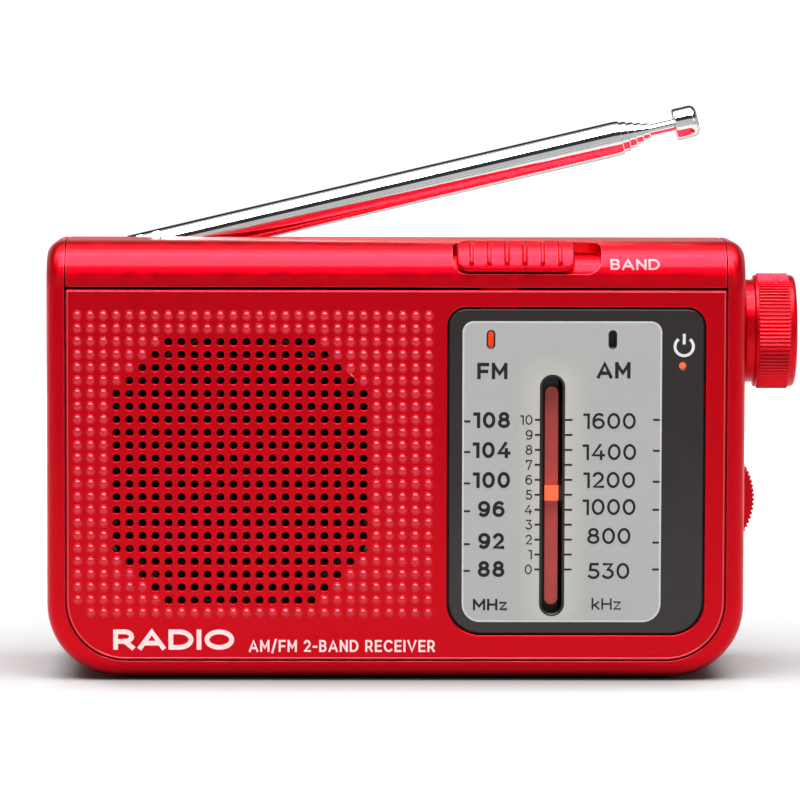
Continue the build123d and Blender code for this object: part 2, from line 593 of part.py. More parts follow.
def make_tuning_drive():
    # knob: a smooth collar against the case, then a finely ribbed grip
    profile_r = KNOB_R - KNOB_RIB_H
    knob = rod_x(COLLAR_R, HALF_W + 0.5, KNOB_X[0] + 1, 0, KNOB_Z) + rod_x(profile_r, *KNOB_X, 0, KNOB_Z)
    knob = chamfer(knob.edges().filter_by(GeomType.CIRCLE).sort_by(Axis.X)[-1], KNOB_CHAMFER)
    ribs = Sketch()
    for i in range(KNOB_RIBS):
        angle = 360.0 * i / KNOB_RIBS
        ribs = ribs + Rot(0, 0, angle) * Pos(profile_r, 0) * Rectangle(2 * KNOB_RIB_H, KNOB_RIB_W)
    ribs = Pos(KNOB_X[0] + 0.5, 0, KNOB_Z) * extrude(Plane.YZ * ribs, amount=KNOB_X[1] - KNOB_X[0] - 1.3)
    knob = knob + ribs - rod_x(SHAFT_R, 50, KNOB_X[1] - 2.0, 0, KNOB_Z)
    save("tuning_knob", knob)

    shaft = rod_x(SHAFT_R, 14.0, KNOB_X[1] - 2.2, 0, KNOB_Z)
    shaft = shaft + rod_x(CAPSTAN_R, SLOT_X - 1.5, SLOT_X + 1.5, 0, KNOB_Z)
    for x in (SLOT_X - 2.0, SLOT_X + 1.5):
        shaft = shaft + rod_x(3.4, x, x + 0.5, 0, KNOB_Z)
    save("tuning_shaft", shaft)

    x0, x1 = GEAR_X
    pitch_angle = 2 * pi / PINION_TEETH
    z = gear_axis_z()
    to_pinion = acos(-GEAR_Y / (MODULE * (PINION_TEETH + GEAR_TEETH) / 2))
    meshing = to_pinion + pi + pitch_angle / 2
    pinion = extrude(Plane.YZ * involute(PINION_TEETH, BACKLASH, meshing), amount=x1 - x0 + 0.6)
    save("tuning_pinion", Pos(x0 - 0.3, 0, KNOB_Z) * pinion - rod_x(SHAFT_R, 0, 40, 0, KNOB_Z))
    gear = Pos(x0, GEAR_Y, z) * extrude(Plane.YZ * involute(GEAR_TEETH, BACKLASH, to_pinion), amount=x1 - x0)
    gear = gear - rod_x(GEAR_SHAFT_R, x0 - 1, x1 + 1, GEAR_Y, z)
    for i in range(3):
        a = radians(90 + 120 * i)
        gear = gear - rod_x(GEAR_HOLE_R, x0 - 1, x1 + 1, GEAR_Y + GEAR_HOLES_AT * cos(a), z + GEAR_HOLES_AT * sin(a))
    save("tuning_gear", group([gear, rod_x(GEAR_SHAFT_R, BRACKET_X[0] + 0.3, x1 + 0.8, GEAR_Y, z)]))

    half = CAPACITOR_HALF_W
    body = box(CAPACITOR_X, BRACKET_X[0], GEAR_Y - half, GEAR_Y + half, z - half, z + half)
    body = fillet(body.edges().filter_by(Axis.X), 1.0)
    save("tuning_capacitor", body)

    bx0, bx1 = BRACKET_X
    bracket = box(bx0, bx1, GEAR_Y - 9.0, PCB_Y[0], z - 10, KNOB_Z + 3.2)
    bracket = bracket + box(bx0 - 6, bx0 + 0.5, PCB_Y[0] - 1.0, PCB_Y[0], z + 10.0, KNOB_Z + 2.9)
    bracket = bracket - rod_x(SHAFT_R + FIT, 0, 30, 0, KNOB_Z) - rod_x(GEAR_SHAFT_R + 0.1, 0, 30, GEAR_Y, z)
    save("capacitor_bracket", bracket)

    for name, pz in PULLEY_Z.items():
        pulley = rod_x(PULLEY_GROOVE_R, SLOT_X - 1.0, SLOT_X + 1.0, PULLEY_Y, pz)
        for x in (SLOT_X - 1.0, SLOT_X + 0.55):
            pulley = pulley + rod_x(PULLEY_FLANGE_R, x, x + 0.45, PULLEY_Y, pz)
        save(f"{name}_pulley", pulley - rod_x(PULLEY_PIN_R + FIT, 20, 30, PULLEY_Y, pz))


# ---------------------------------------------------------------- volume control

def make_volume():
    y0, y1 = WHEEL_Y
    outline = []
    for i in range(WHEEL_TEETH):
        for r, share in ((WHEEL_R, 0.0), (WHEEL_R - TOOTH_DEPTH, 0.5)):
            a = 2 * pi * (i + share) / WHEEL_TEETH
            outline.append((r * cos(a), r * sin(a)))
    wheel = slab(Pos(WHEEL_X, WHEEL_Z) * make_face(Polyline(*outline, close=True)), y0, y1)
    wheel = wheel - rod_y(8.2, y0 - 1, y0 + 1.0, WHEEL_X, WHEEL_Z) - rod_y(1.8, y0 - 1, y1 + 1, WHEEL_X, WHEEL_Z)
    save("volume_wheel", wheel)
    shaft = rod_y(1.8, y0 + 1.0, 1.2, WHEEL_X, WHEEL_Z)
    screw = rod_y(1.7, y0 + 0.1, y0 + 1.0, WHEEL_X, WHEEL_Z)
    screw = screw - box(WHEEL_X - 1.2, WHEEL_X + 1.2, y0, y0 + 0.5, WHEEL_Z - 0.2, WHEEL_Z + 0.2)
    save("volume_shaft", shaft + screw)
    pot = rod_y(7.6, -0.3, 3.6, WHEEL_X - 1.2, WHEEL_Z)
    pot = pot + box(WHEEL_X - 8.4, WHEEL_X + 5.2, 3.6, PCB_Y[0], WHEEL_Z - 6, WHEEL_Z + 6)
    save("volume_control", pot - rod_y(1.87, -1, 1.6, WHEEL_X, WHEEL_Z))


# ---------------------------------------------------------------- band switch

def make_band_switch():
    x0, x1 = SWITCH_KNOB_X
    r = TOP_FRONT_R
    knob = arc_block(r - WALL + 0.1, r + 0.6, *SWITCH_KNOB_ANGLES, x0, x1)
    knob = fillet([e for e in knob.edges() if is_corner(e, SWITCH_KNOB_X)], SWITCH_CORNER_R)
    for i in range(SWITCH_RIBS):
        x = (x0 + x1) / 2 + SWITCH_RIB_PITCH * (i - (SWITCH_RIBS - 1) / 2)
        half = SWITCH_RIB_HALF_W
        knob = knob + arc_block(r + 0.2, r + 1.0, *SWITCH_RIB_ANGLES, x - half, x + half)
    save("band_knob", knob)

    slide_x0, slide_x1 = SWITCH_SLOT_X[0] - BAND_TRAVEL - 0.5, SWITCH_SLOT_X[1] + 0.5
    slider = arc_block(r - WALL - 0.6, r - WALL - 0.1, *SLIDER_ANGLES, slide_x0, slide_x1)
    slider = slider + arc_block(r - WALL - 0.2, r - WALL + 0.1, 30, 68, x0 + 4, x1 - 4)
    front = ROUND_Y - (r - WALL - 0.2)
    slider = slider + box(14.5, 20.5, front, front + 0.4, PILL_Z - 2.6, ROUND_Z + 0.3)
    slider = slider + box(11.0, 41.2, front, front + 0.4, PILL_Z - 2.6, PILL_Z + 2.6)
    arm_z = ROUND_Z + r - WALL - 1.4
    slider = slider + box(24.0, 26.0, ROUND_Y - 0.5, 3.8, arm_z - 0.4, arm_z + 0.5)
    slider = slider + box(24.0, 26.0, ROUND_Y - 0.5, ROUND_Y + 0.5, arm_z, ROUND_Z + r - WALL - 0.4)
    slider = slider + box(24.0, 26.0, 2.2, 3.8, 64.4, arm_z)
    save("band_slider", slider)
    flag_z0, flag_z1 = PILL_Z - 2.3, PILL_Z + 2.3
    flags = [box(x - 1.4, x + 1.4, front - 0.08, front, flag_z0, flag_z1) for x in (FM_X, AM_X - BAND_TRAVEL)]
    save("band_flags", group(flags))

    body = box(18.0, 33.0, -0.6, 4.9, 62.2, 65.8)
    body = body - box(22.0, 32.0, 1.4, 4.2, 64.0, 67)
    body = body + box(18.0, 33.0, 4.0, PCB_Y[0], PCB[3] - 3, 63.0)
    save("band_switch_body", body)


# ---------------------------------------------------------------- speaker

def make_speaker():
    def ring(r1, r0, y0, y1):
        return rod_y(r1, y0, y1, SPEAKER_X, SPEAKER_Z) - rod_y(r0, y0 - 1, y1 + 1, SPEAKER_X, SPEAKER_Z)

    front = PANEL_BACK + GASKET_T
    save("speaker_gasket", ring(SPEAKER_R, SPEAKER_R - 1.6, PANEL_BACK, front))
    basket = ring(SPEAKER_R, SPEAKER_R - 2.2, front, front + 0.8)
    back = front + BASKET_DEPTH
    cup = cone_shell(SPEAKER_R - 2.2, 13.0, front + 0.8, back, 0.8)
    basket = basket + cup + ring(13.8, 8.0, back - 0.8, back)
    for i in range(4):
        a = radians(45 + 90 * i)
        basket = basket - rod_y(3.6, front + 2, back + 2, SPEAKER_X + 17.6 * cos(a), SPEAKER_Z + 17.6 * sin(a))
    save("speaker_basket", basket)
    save("speaker_magnet", rod_y(MAGNET_R, back, back + MAGNET_DEPTH, SPEAKER_X, SPEAKER_Z))
    cone = cone_shell(SPEAKER_R - 3.2, 7.0, front + 0.2, front + 5.4, 0.4)
    surround = ring(SPEAKER_R - 2.2, SPEAKER_R - 3.4, front + 0.2, front + 0.6)
    save("speaker_cone", cone + surround)
    cap = Pos(SPEAKER_X, front + 4.6, SPEAKER_Z) * Rot(90, 0, 0) * Cylinder(7.4, 0.6)
    save("speaker_dust_cap", fillet(cap.edges().sort_by(Axis.Y)[0], 0.5))
    clamps = []
    for angle in (90, 210, 330):
        a = radians(angle)
        x, z = SPEAKER_X + CLAMPS_AT * cos(a), SPEAKER_Z + CLAMPS_AT * sin(a)
        clamp = rod_y(1.5, PANEL_BACK, front + 0.8, x, z) + rod_y(2.8, front + 0.8, front + 1.6, x, z)
        clamps.append(clamp)
    save("speaker_clamps", group(clamps))


def cone_shell(r_front, r_back, y_front, y_back, thickness):
    """An open cone about the speaker's axis, wide at the front."""
    outline = Polyline((r_front, y_front), (r_back, y_back), (r_back + thickness, y_back),
                       (r_front + thickness, y_front), close=True)
    face = make_face(outline)
    spun = revolve(face, axis=Axis.Y, revolution_arc=360)
    return Pos(SPEAKER_X, 0, SPEAKER_Z) * spun


# ---------------------------------------------------------------- circuit

def make_circuit():
    y0, y1 = PCB_Y
    x0, x1, z0, z1 = PCB
    board = slab(rounded(x0, x1, z0, z1, 1.0, 1.0), y0, y1)
    for x, z in SCREWS[1:]:
        board = board - rod_y(3.2, 0, 20, x, z)
    save("circuit_board", board)

    cans = []
    for i in range(4):
        x = 22.0 + 9.0 * i if i < 3 else 31.0
        z = 40.0 if i < 3 else 51.0
        half = CAN_HALF_W
        can = box(x - half, x + half, y1, y1 + CAN_HEIGHT, z - half, z + half)
        cans.append(can - rod_y(1.4, y1 + CAN_HEIGHT - 0.6, 20, x, z))
    save("if_cans", group(cans))
    places = ((8.0, 30.0, 2.5), (15.0, 26.0, 2.0), (24.0, 28.0, 2.5), (-3.0, 50.0, 2.0), (3.0, 44.0, 2.0))
    save("electrolytics", group(rod_y(r, y1, y1 + 5.2, x, z) for x, z, r in places))
    chip = box(-4.0, 4.0, y1 + 0.4, y1 + 2.8, 35.0, 39.0)
    for i in range(5):
        for z in (34.2, 39.0):
            chip = chip + box(-3.5 + 1.7 * i, -3.0 + 1.7 * i, y1, y1 + 1.6, z, z + 0.8)
    save("amplifier_chip", chip)

    save("ferrite_rod", rod_x(FERRITE_R, -44.0, 14.0, FERRITE_Y, FERRITE_Z))
    bore = rod_x(FERRITE_R, -60, 20, FERRITE_Y, FERRITE_Z)
    coil = rod_x(FERRITE_R + 1.0, -40.0, -24.0, FERRITE_Y, FERRITE_Z) - bore
    save("ferrite_coil", coil)
    holders = []
    for x in (-7.0, 6.0):
        holder = box(x, x + 3.0, FERRITE_Y - 5.2, FERRITE_Y + 5.2, FERRITE_Z - 5.2, FERRITE_Z + 4.6)
        holder = holder + box(x, x + 3.0, 3.0, y0, z1 - 4.0, FERRITE_Z - 3.2)
        holders.append(holder - bore)
    save("ferrite_holders", group(holders))

    jack = rod_x(JACK_NECK_R, -HALF_W + 0.1, -HALF_W + WALL, JACK_Y, JACK_Z)
    r = JACK_BODY_R
    jack = jack + box(-HALF_W + WALL, JACK_END_X, JACK_Y - r, JACK_Y + r, JACK_Z - r, JACK_Z + r)
    save("earphone_jack", jack - rod_x(JACK_R, -HALF_W - 1, JACK_END_X - 1, JACK_Y, JACK_Z))


# ---------------------------------------------------------------- antenna

def along(shape):
    """Take a piece drawn along X from the fold pin to its resting place."""
    return Pos(PIVOT_X, PIVOT_Y, PIVOT_Z) * Rot(0, -REST_ANGLE, 0) * shape


def make_antenna():
    # turret: a round foot with two ears that hold the fold pin
    turret = rod_z(TURRET_R, LEDGE_Z, LEDGE_Z + 0.6, PIVOT_X, PIVOT_Y)
    for side in (-1, 1):
        y = PIVOT_Y + side * 1.95
        ear = box(PIVOT_X - EYE_R, PIVOT_X + EYE_R, y - 0.6, y + 0.6, LEDGE_Z + 0.3, PIVOT_Z)
        turret = turret + ear + rod_y(EYE_R, y - 0.6, y + 0.6, PIVOT_X, PIVOT_Z)
    turret = turret + rod_z(SHAFT_R, 62.6, LEDGE_Z + 0.3, PIVOT_X, PIVOT_Y)
    turret = turret - rod_y(FOLD_PIN_R, 0, 30, PIVOT_X, PIVOT_Z)
    save("antenna_turret", turret)
    pin = rod_y(FOLD_PIN_R, PIVOT_Y - 2.8, PIVOT_Y + 2.8, PIVOT_X, PIVOT_Z)
    nut = rod_z(2.6, 61.6, 63.2, PIVOT_X, PIVOT_Y) - rod_z(SHAFT_R, 62.6, 70, PIVOT_X, PIVOT_Y)
    save("turret_pin_and_nut", group([pin, nut]))
    lug = box(PIVOT_X - 4, PIVOT_X + 10, PIVOT_Y - 3.2, PIVOT_Y + 3.2, 63.5, LEDGE_Z - WALL)
    save("antenna_lug", lug - rod_z(SHAFT_R + 0.06, 60, 70, PIVOT_X, PIVOT_Y))

    # knuckle: a flat eye on the pin, and a plug crimped into the outer tube
    half = EYE_T / 2
    eye = Rot(90, 0, 0) * Cylinder(EYE_R, EYE_T) + box(0, TUBE_START + 0.6, -half, half, -EYE_R, EYE_R)
    plug = rod_x(TUBE_RADII[0] - TUBE_WALL, TUBE_START + 0.3, 12.0, 0, 0)
    save("antenna_knuckle", along(eye + plug - Rot(90, 0, 0) * Cylinder(FOLD_PIN_R + FIT, 10)))

    for i, r in enumerate(TUBE_RADII):
        start = TUBE_START if i == 0 else 13.0 + 0.3 * i
        end = TUBE_END + STEP_OUT * i
        inner = TUBE_RADII[i + 1] if i < 4 else ROD_R
        lip = rod_x(inner + FIT, start, end + 1, 0, 0)
        tube = rod_x(r, start, end, 0, 0) - rod_x(r - TUBE_WALL, start - 1, end - LIP, 0, 0) - lip
        save(f"antenna_tube_{i + 1}", along(tube))
    rod_end = TIP[0]
    save("antenna_rod", along(rod_x(ROD_R, 14.8, rod_end + 2.0, 0, 0)))
    tip = rod_x(TIP_R, *TIP, 0, 0)
    tip = fillet(tip.edges().filter_by(GeomType.CIRCLE).sort_by(Axis.X)[-1], 1.2)
    tip = fillet(tip.edges().filter_by(GeomType.CIRCLE).sort_by(Axis.X)[0], 0.4)
    save("antenna_tip", along(tip - rod_x(ROD_R, 90, rod_end + 2.0, 0, 0)))


os.makedirs("parts", exist_ok=True)
make_case()
make_battery_bay()
make_dial()
make_cord()
make_tuning_drive()
make_volume()
make_band_switch()
make_speaker()
make_circuit()
make_antenna()
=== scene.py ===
"""Transistor pocket radio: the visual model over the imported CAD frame.

The frame is in metres, with +Z up. Helpers that draw shapes take millimetres, because the radio is small.
The front of the radio faces -Y.
"""
import json
from math import ceil, cos, hypot, pi, radians, sin, sqrt

import bmesh
import bpy
from mathutils import Matrix, Vector


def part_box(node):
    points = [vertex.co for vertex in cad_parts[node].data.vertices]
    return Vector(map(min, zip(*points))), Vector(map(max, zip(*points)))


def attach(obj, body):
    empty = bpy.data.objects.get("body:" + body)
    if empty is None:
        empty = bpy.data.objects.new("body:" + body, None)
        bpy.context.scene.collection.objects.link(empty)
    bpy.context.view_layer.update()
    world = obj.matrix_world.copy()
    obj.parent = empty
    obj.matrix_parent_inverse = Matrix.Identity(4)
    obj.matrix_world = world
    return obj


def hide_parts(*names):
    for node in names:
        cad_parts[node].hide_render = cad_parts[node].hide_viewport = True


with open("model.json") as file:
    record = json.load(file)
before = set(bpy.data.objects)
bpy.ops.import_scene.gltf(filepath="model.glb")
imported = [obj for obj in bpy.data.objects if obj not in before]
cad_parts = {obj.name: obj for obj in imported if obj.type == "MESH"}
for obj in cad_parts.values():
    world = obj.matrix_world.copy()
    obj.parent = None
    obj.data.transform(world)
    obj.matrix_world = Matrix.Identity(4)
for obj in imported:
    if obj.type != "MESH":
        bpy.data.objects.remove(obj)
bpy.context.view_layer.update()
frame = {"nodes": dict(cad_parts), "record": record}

MM = 0.001


def mm_box(node):
    """A CAD node's box as (x0, x1, y0, y1, z0, z1) in millimetres."""
    low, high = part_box(node)
    return tuple(1000 * value for pair in zip(low, high) for value in pair)


# -------------------------------- places, read from the frame

COVER = mm_box("top_cover")
PANEL = mm_box("front_panel")
LENS = mm_box("dial_lens")
BAR = mm_box("light_guide")
LED = mm_box("power_led")
FLAGS = mm_box("band_flags")
KNOB = mm_box("tuning_knob")
WHEEL = mm_box("volume_wheel")
SWITCH = mm_box("band_knob")

FRONT = mm_box("front_frame")[2]  # the front face of the case
PANEL_BACK = mm_box("scale_plate")[3]  # the back of the panel's skin and of the lens plate
PANEL_X = PANEL[1]
PANEL_Z = (PANEL[4], PANEL[5])
LENS_FRONT = LENS[2]

# -------------------------------- driving sizes, in millimetres and degrees

PRINT_T = 0.02  # the thickness of a printed layer
FILM_ROOT = 0.1  # how far a thin layer reaches into what it lies on

# front panel and grille
PANEL_CORNER_R = 10.05
PANEL_CHAMFER = 0.22
EDGE_HIGHLIGHT_W = 0.16
PITCH = 2.2
GRILLE_X0 = -53.9
GRILLE_Z0 = 62.19
GRILLE_COLS = 28
GRILLE_ROWS = 24
OPEN_ROWS = range(2, 23)  # the rows with holes
FIRST_HOLE_COL = {2: 7, 3: 6, 4: 5, 5: 4, 19: 4, 20: 5, 21: 6, 22: 7}
USUAL_FIRST_COL = 3
FIELD_MIDDLE_COL = 12.5
HOLE_MOUTH_R = 0.85
HOLE_CHAMFER = 0.2

# dial
LENS_TOP_R = 2.9
LENS_BOTTOM_R = 5.5
LENS_GAP = 0.25  # between the lens and the panel round it
LENS_INSET = 0.35  # from the lens's outline to the edge of its flat face
LENS_EDGE_R = 0.3
WINDOW_GROWTH = LENS_GAP + PANEL_CHAMFER  # from the lens to the flat face of the panel
SCALE = (11.2, 44.95, 10.1, 61.35)  # the grey field: x0, x1, z0, z1
SCALE_TOP_R = 1.9
SCALE_BOTTOM_R = 3.1
SCALE_RIM_W = 0.3
SLOT_X = 26.45
SLOT_W = 4.0
SLOT_Z = (11.24, 52.16)
SLOT_BORDER = 0.15  # the dark line left round the slot
BAR_X = (25.25, 27.59)
BAR_Z = (12.7, 50.04)
BAR_EDGE_R = 0.1
BAR_FLANGE_T = 0.7
FM_X = 16.0
AM_X = 36.6
PILL_Z = 58.25
PILL_W = 1.5
PILL_H = 3.25
LED_X = (LED[0] + LED[1]) / 2
LED_Z = (LED[4] + LED[5]) / 2
LED_HOLE_R = 0.9

# the rounded front edge of the top
ROUND_R = 7.6
ROUND_Y = FRONT + ROUND_R
ROUND_Z = COVER[5] - ROUND_R
BAND_ANGLES = (24.7, 40.2)  # where the word by the switch sits, in degrees up the round

# camera, in metres and degrees
CAMERA_AT = (-0.01247, -1.04286, 0.15099)
CAMERA_PAN = 0.7324
CAMERA_TILT = 5.7348
CAMERA_ROLL = 0.1486
CAMERA_LENS = 274.416
CAMERA_SENSOR = 36.0


# -------------------------------- mesh helpers

def add_mesh(name, verts, faces):
    """A new mesh object from points in millimetres."""
    mesh = bpy.data.meshes.new(name)
    mesh.from_pydata([Vector(v) * MM for v in verts], [], faces)
    mesh.validate()
    obj = bpy.data.objects.new(name, mesh)
    bpy.context.scene.collection.objects.link(obj)
    return obj


def finish_mesh(obj, sharp=35.0, weld=0.0005):
    """Weld the points, turn the faces outwards, and shade smooth except across sharp edges.

    An edge between a face square to the front and a slanted one is sharp too: large flat faces stay flat.
    """
    bm = bmesh.new()
    bm.from_mesh(obj.data)
    bmesh.ops.remove_doubles(bm, verts=bm.verts, dist=weld * MM)
    bmesh.ops.recalc_face_normals(bm, faces=bm.faces)
    for face in bm.faces:
        face.smooth = True
    for edge in bm.edges:
        squares = [abs(face.normal.y) > 0.99999 for face in edge.link_faces]
        is_soft = len(squares) == 2 and edge.calc_face_angle(0.0) < radians(sharp)
        edge.smooth = is_soft and squares[0] == squares[1]
    bm.to_mesh(obj.data)
    bm.free()
    return obj


def curve_plate(name, outlines, y_front, y_back, edge=0.0, edge_steps=2):
    """A flat plate from closed front-view outlines: the first is outside, the others are holes.

    The outlines are the front face's own edges. The plate's rounded edge widens away from them.
    """
    curve = bpy.data.curves.new(name, "CURVE")
    curve.dimensions = "2D"
    curve.fill_mode = "BOTH"
    for outline in outlines:
        spline = curve.splines.new("POLY")
        spline.points.add(len(outline) - 1)
        for point, (x, z) in zip(spline.points, outline):
            point.co = (x * MM, z * MM, 0.0, 1.0)
        spline.use_cyclic_u = True
    curve.extrude = ((y_back - y_front) / 2 - edge) * MM
    curve.bevel_depth = edge * MM
    curve.bevel_resolution = edge_steps
    source = bpy.data.objects.new(name + "_outline", curve)
    bpy.context.scene.collection.objects.link(source)
    bpy.context.view_layer.update()
    mesh = bpy.data.meshes.new_from_object(source)
    mesh.name = name
    bpy.data.objects.remove(source)
    upright = Matrix.Rotation(pi / 2, 4, "X")
    mesh.transform(Matrix.Translation((0.0, (y_front + y_back) / 2 * MM, 0.0)) @ upright)
    obj = bpy.data.objects.new(name, mesh)
    bpy.context.scene.collection.objects.link(obj)
    return finish_mesh(obj)


def oval(cx, cy, rx, ry, start, end, steps=14):
    """Points along part of an ellipse, by angle in degrees from the right."""
    angles = [radians(start + (end - start) * i / steps) for i in range(steps + 1)]
    return [(cx + rx * cos(a), cy + ry * sin(a)) for a in angles]


def arc(cx, cy, r, start, end, steps):
    return oval(cx, cy, r, r, start, end, steps)


def circle_outline(x, z, r, steps=24):
    return arc(x, z, r, 0, 360, steps)[:-1]


def rounded_outline(x0, x1, z0, z1, top_r, bottom_r, steps=14):
    """A rectangle, counter-clockwise from the lower left, with its own radii above and below."""
    corners = ((x0, z0, bottom_r, 180), (x1, z0, bottom_r, 270), (x1, z1, top_r, 0), (x0, z1, top_r, 90))
    points = []
    for x, z, r, start in corners:
        if r <= 0:
            points.append((x, z))
            continue
        cx = x + r if x == x0 else x - r
        cz = z + r if z == z0 else z - r
        points += arc(cx, cz, r, start, start + 90, steps)
    return points


def pill_outline(x, z0, z1, width):
    r = width / 2
    return rounded_outline(x - r, x + r, z0, z1, r, r)


def lathe(name, profile, origin, axis, segments=64, radius_at=None, closed=False):
    """Spin a profile of (along, radius) points about an axis. radius_at may change a radius by its turn."""
    axis = Vector(axis).normalized()
    side = axis.orthogonal().normalized()
    up = axis.cross(side)
    verts, faces = [], []
    for along, r in profile:
        for i in range(segments):
            a = 2 * pi * i / segments
            radius = radius_at(along, r, a) if radius_at else r
            verts.append(Vector(origin) + axis * along + (side * cos(a) + up * sin(a)) * radius)
    rows = len(profile)
    for row in range(rows if closed else rows - 1):
        low, high = row * segments, (row + 1) % rows * segments
        for i in range(segments):
            j = (i + 1) % segments
            faces.append((low + i, low + j, high + j, high + i))
    if not closed:
        faces.append(tuple(reversed(range(segments))))
        faces.append(tuple(range((rows - 1) * segments, rows * segments)))
    return finish_mesh(add_mesh(name, verts, faces))


# -------------------------------- materials

def srgb(r, g, b):
    """A colour given as 0 to 255 on the screen, as linear values."""
    def linear(v):
        v = v / 255
        return v / 12.92 if v <= 0.04045 else ((v + 0.055) / 1.055) ** 2.4
    return (linear(r), linear(g), linear(b), 1.0)


class Paint:
    """A node material under construction: one Principled shader, fed by object-space noise and masks."""

    def __init__(self, name, **sockets):
        self.material = bpy.data.materials.new(name)
        self.material.use_nodes = True
        self.tree = self.material.node_tree
        self.shader = self.tree.nodes["Principled BSDF"]
        self.set_values(self.shader, sockets)
        self.place = self.node("TexCoord").outputs["Object"]

    def set_values(self, node, values):
        for key, value in values.items():
            node.inputs[key.replace("_", " ")].default_value = value

    def node(self, kind, **values):
        node = self.tree.nodes.new("ShaderNode" + kind)
        self.set_values(node, values)
        return node

    def link(self, source, target):
        self.tree.links.new(source, target)

    def noise(self, size, detail=3.0, stretch=None):
        """Noise whose grains are about this size in millimetres. stretch scales each axis."""
        node = self.node("TexNoise", Scale=1.0 / (size * MM), Detail=detail)
        place = self.place
        if stretch:
            mapping = self.node("Mapping", Scale=stretch)
            self.link(place, mapping.inputs["Vector"])
            place = mapping.outputs["Vector"]
        self.link(place, node.inputs["Vector"])
        return node.outputs["Fac"]

    def ramp(self, factor, low, high, start=0.3, end=0.7):
        """A number that goes from low to high as the factor goes from start to end."""
        node = self.node("MapRange", From_Min=start, From_Max=end, To_Min=low, To_Max=high)
        self.link(factor, node.inputs["Value"])
        return node.outputs["Result"]

    def blend(self, factor, first, second):
        """A mix of two colours. Either may be a fixed colour or a socket."""
        node = self.node("Mix")
        node.data_type = "RGBA"
        self.link(factor, node.inputs["Factor"])
        colour_inputs = [s for s in node.inputs if s.type == "RGBA"]
        for socket, value in zip(colour_inputs, (first, second)):
            if isinstance(value, bpy.types.NodeSocket):
                self.link(value, socket)
            else:
                socket.default_value = value
        return [s for s in node.outputs if s.type == "RGBA"][0]

    def math(self, operation, first, second=None):
        """One arithmetic operation on a socket, with a second socket or number."""
        node = self.node("Math")
        node.operation = operation
        self.link(first, node.inputs[0])
        if isinstance(second, bpy.types.NodeSocket):
            self.link(second, node.inputs[1])
        elif second is not None:
            node.inputs[1].default_value = second
        return node.outputs["Value"]

    def falloff(self, axis, centre, near, far):
        """A mask along one axis: 1 within near millimetres of the centre, fading to 0 at far."""
        parts = self.node("SeparateXYZ")
        self.link(self.place, parts.inputs["Vector"])
        distance = self.math("ABSOLUTE", self.math("SUBTRACT", parts.outputs[axis], centre * MM))
        return self.ramp(distance, 1.0, 0.0, near * MM, far * MM)

    def colour(self, socket):
        self.link(socket, self.shader.inputs["Base Color"])

    def roughness(self, socket):
        self.link(socket, self.shader.inputs["Roughness"])

    def bump(self, height, depth, strength, edge=0.0):
        """Surface relief of this depth in millimetres, with the sharp edges rounded by the radius edge."""
        node = self.node("Bump", Strength=strength, Distance=depth * MM)
        if edge:
            self.link(self.rounding(edge), node.inputs["Normal"])
        self.link(height, node.inputs["Height"])
        self.link(node.outputs["Normal"], self.shader.inputs["Normal"])

    def rounding(self, radius):
        """The normal of the surface with its edges rounded over."""
        node = self.node("Bevel", Radius=radius * MM)
        node.samples = 4
        return node.outputs["Normal"]

    def edges(self, radius):
        """A mask that is 1 along sharp edges and 0 on open surfaces."""
        dot = self.node("VectorMath")
        dot.operation = "DOT_PRODUCT"
        self.link(self.rounding(radius), dot.inputs[0])
        self.link(self.node("NewGeometry").outputs["Normal"], dot.inputs[1])
        return self.ramp(dot.outputs["Value"], 1.0, 0.0, 0.8, 0.99)


def scaled(colour, factor):
    return tuple(c * factor for c in colour[:3]) + (1.0,)


def red_paint(name, colour, worn_lit_edge_colour):
    """Satin metallic red: fine flakes, slow changes of tone and gloss, and paint worn pale on the edges,
    partly real wear and partly a painted highlight along them.
    """
    paint = Paint(name, Metallic=0.97, Coat_Weight=0.13, Coat_Roughness=0.12)
    flakes = paint.noise(0.12, detail=2.0)
    drift = paint.noise(45.0, detail=2.0)
    tone = paint.blend(paint.ramp(flakes, 0.0, 1.0), scaled(colour, 0.9), scaled(colour, 1.12))
    tone = paint.blend(paint.ramp(drift, 0.0, 0.35), tone, scaled(colour, 0.87))
    # the pale edges are partly rubbed paint and partly a painted highlight
    wear_and_highlight = paint.math("MULTIPLY", paint.edges(0.14), paint.ramp(paint.noise(3.0), 0.45, 0.9))
    paint.colour(paint.blend(wear_and_highlight, tone, worn_lit_edge_colour))
    paint.roughness(paint.ramp(paint.noise(2.5), 0.33, 0.41))
    paint.bump(flakes, 0.004, 0.35, edge=0.07)
    return paint.material


def moulded(name, colour, rough, grain=0.35, depth=0.006, **sockets):
    """Moulded plastic with a fine grain and slightly uneven tone and gloss."""
    paint = Paint(name, **sockets)
    grains = paint.noise(grain)
    tone = paint.noise(9.0)
    paint.colour(paint.blend(paint.ramp(tone, 0.0, 1.0), scaled(colour, 0.9), scaled(colour, 1.1)))
    paint.roughness(paint.ramp(tone, rough * 0.88, rough * 1.12))
    paint.bump(grains, depth, 0.4)
    return paint.material


def printed(name, colour, rough=0.25, **sockets):
    """Screen print: ink of slightly uneven density."""
    paint = Paint(name, **sockets)
    density = paint.noise(0.8, detail=4.0)
    paint.colour(paint.blend(paint.ramp(density, 0.0, 1.0), scaled(colour, 0.93), scaled(colour, 1.05)))
    paint.roughness(paint.ramp(density, rough * 0.9, rough * 1.15))
    return paint.material


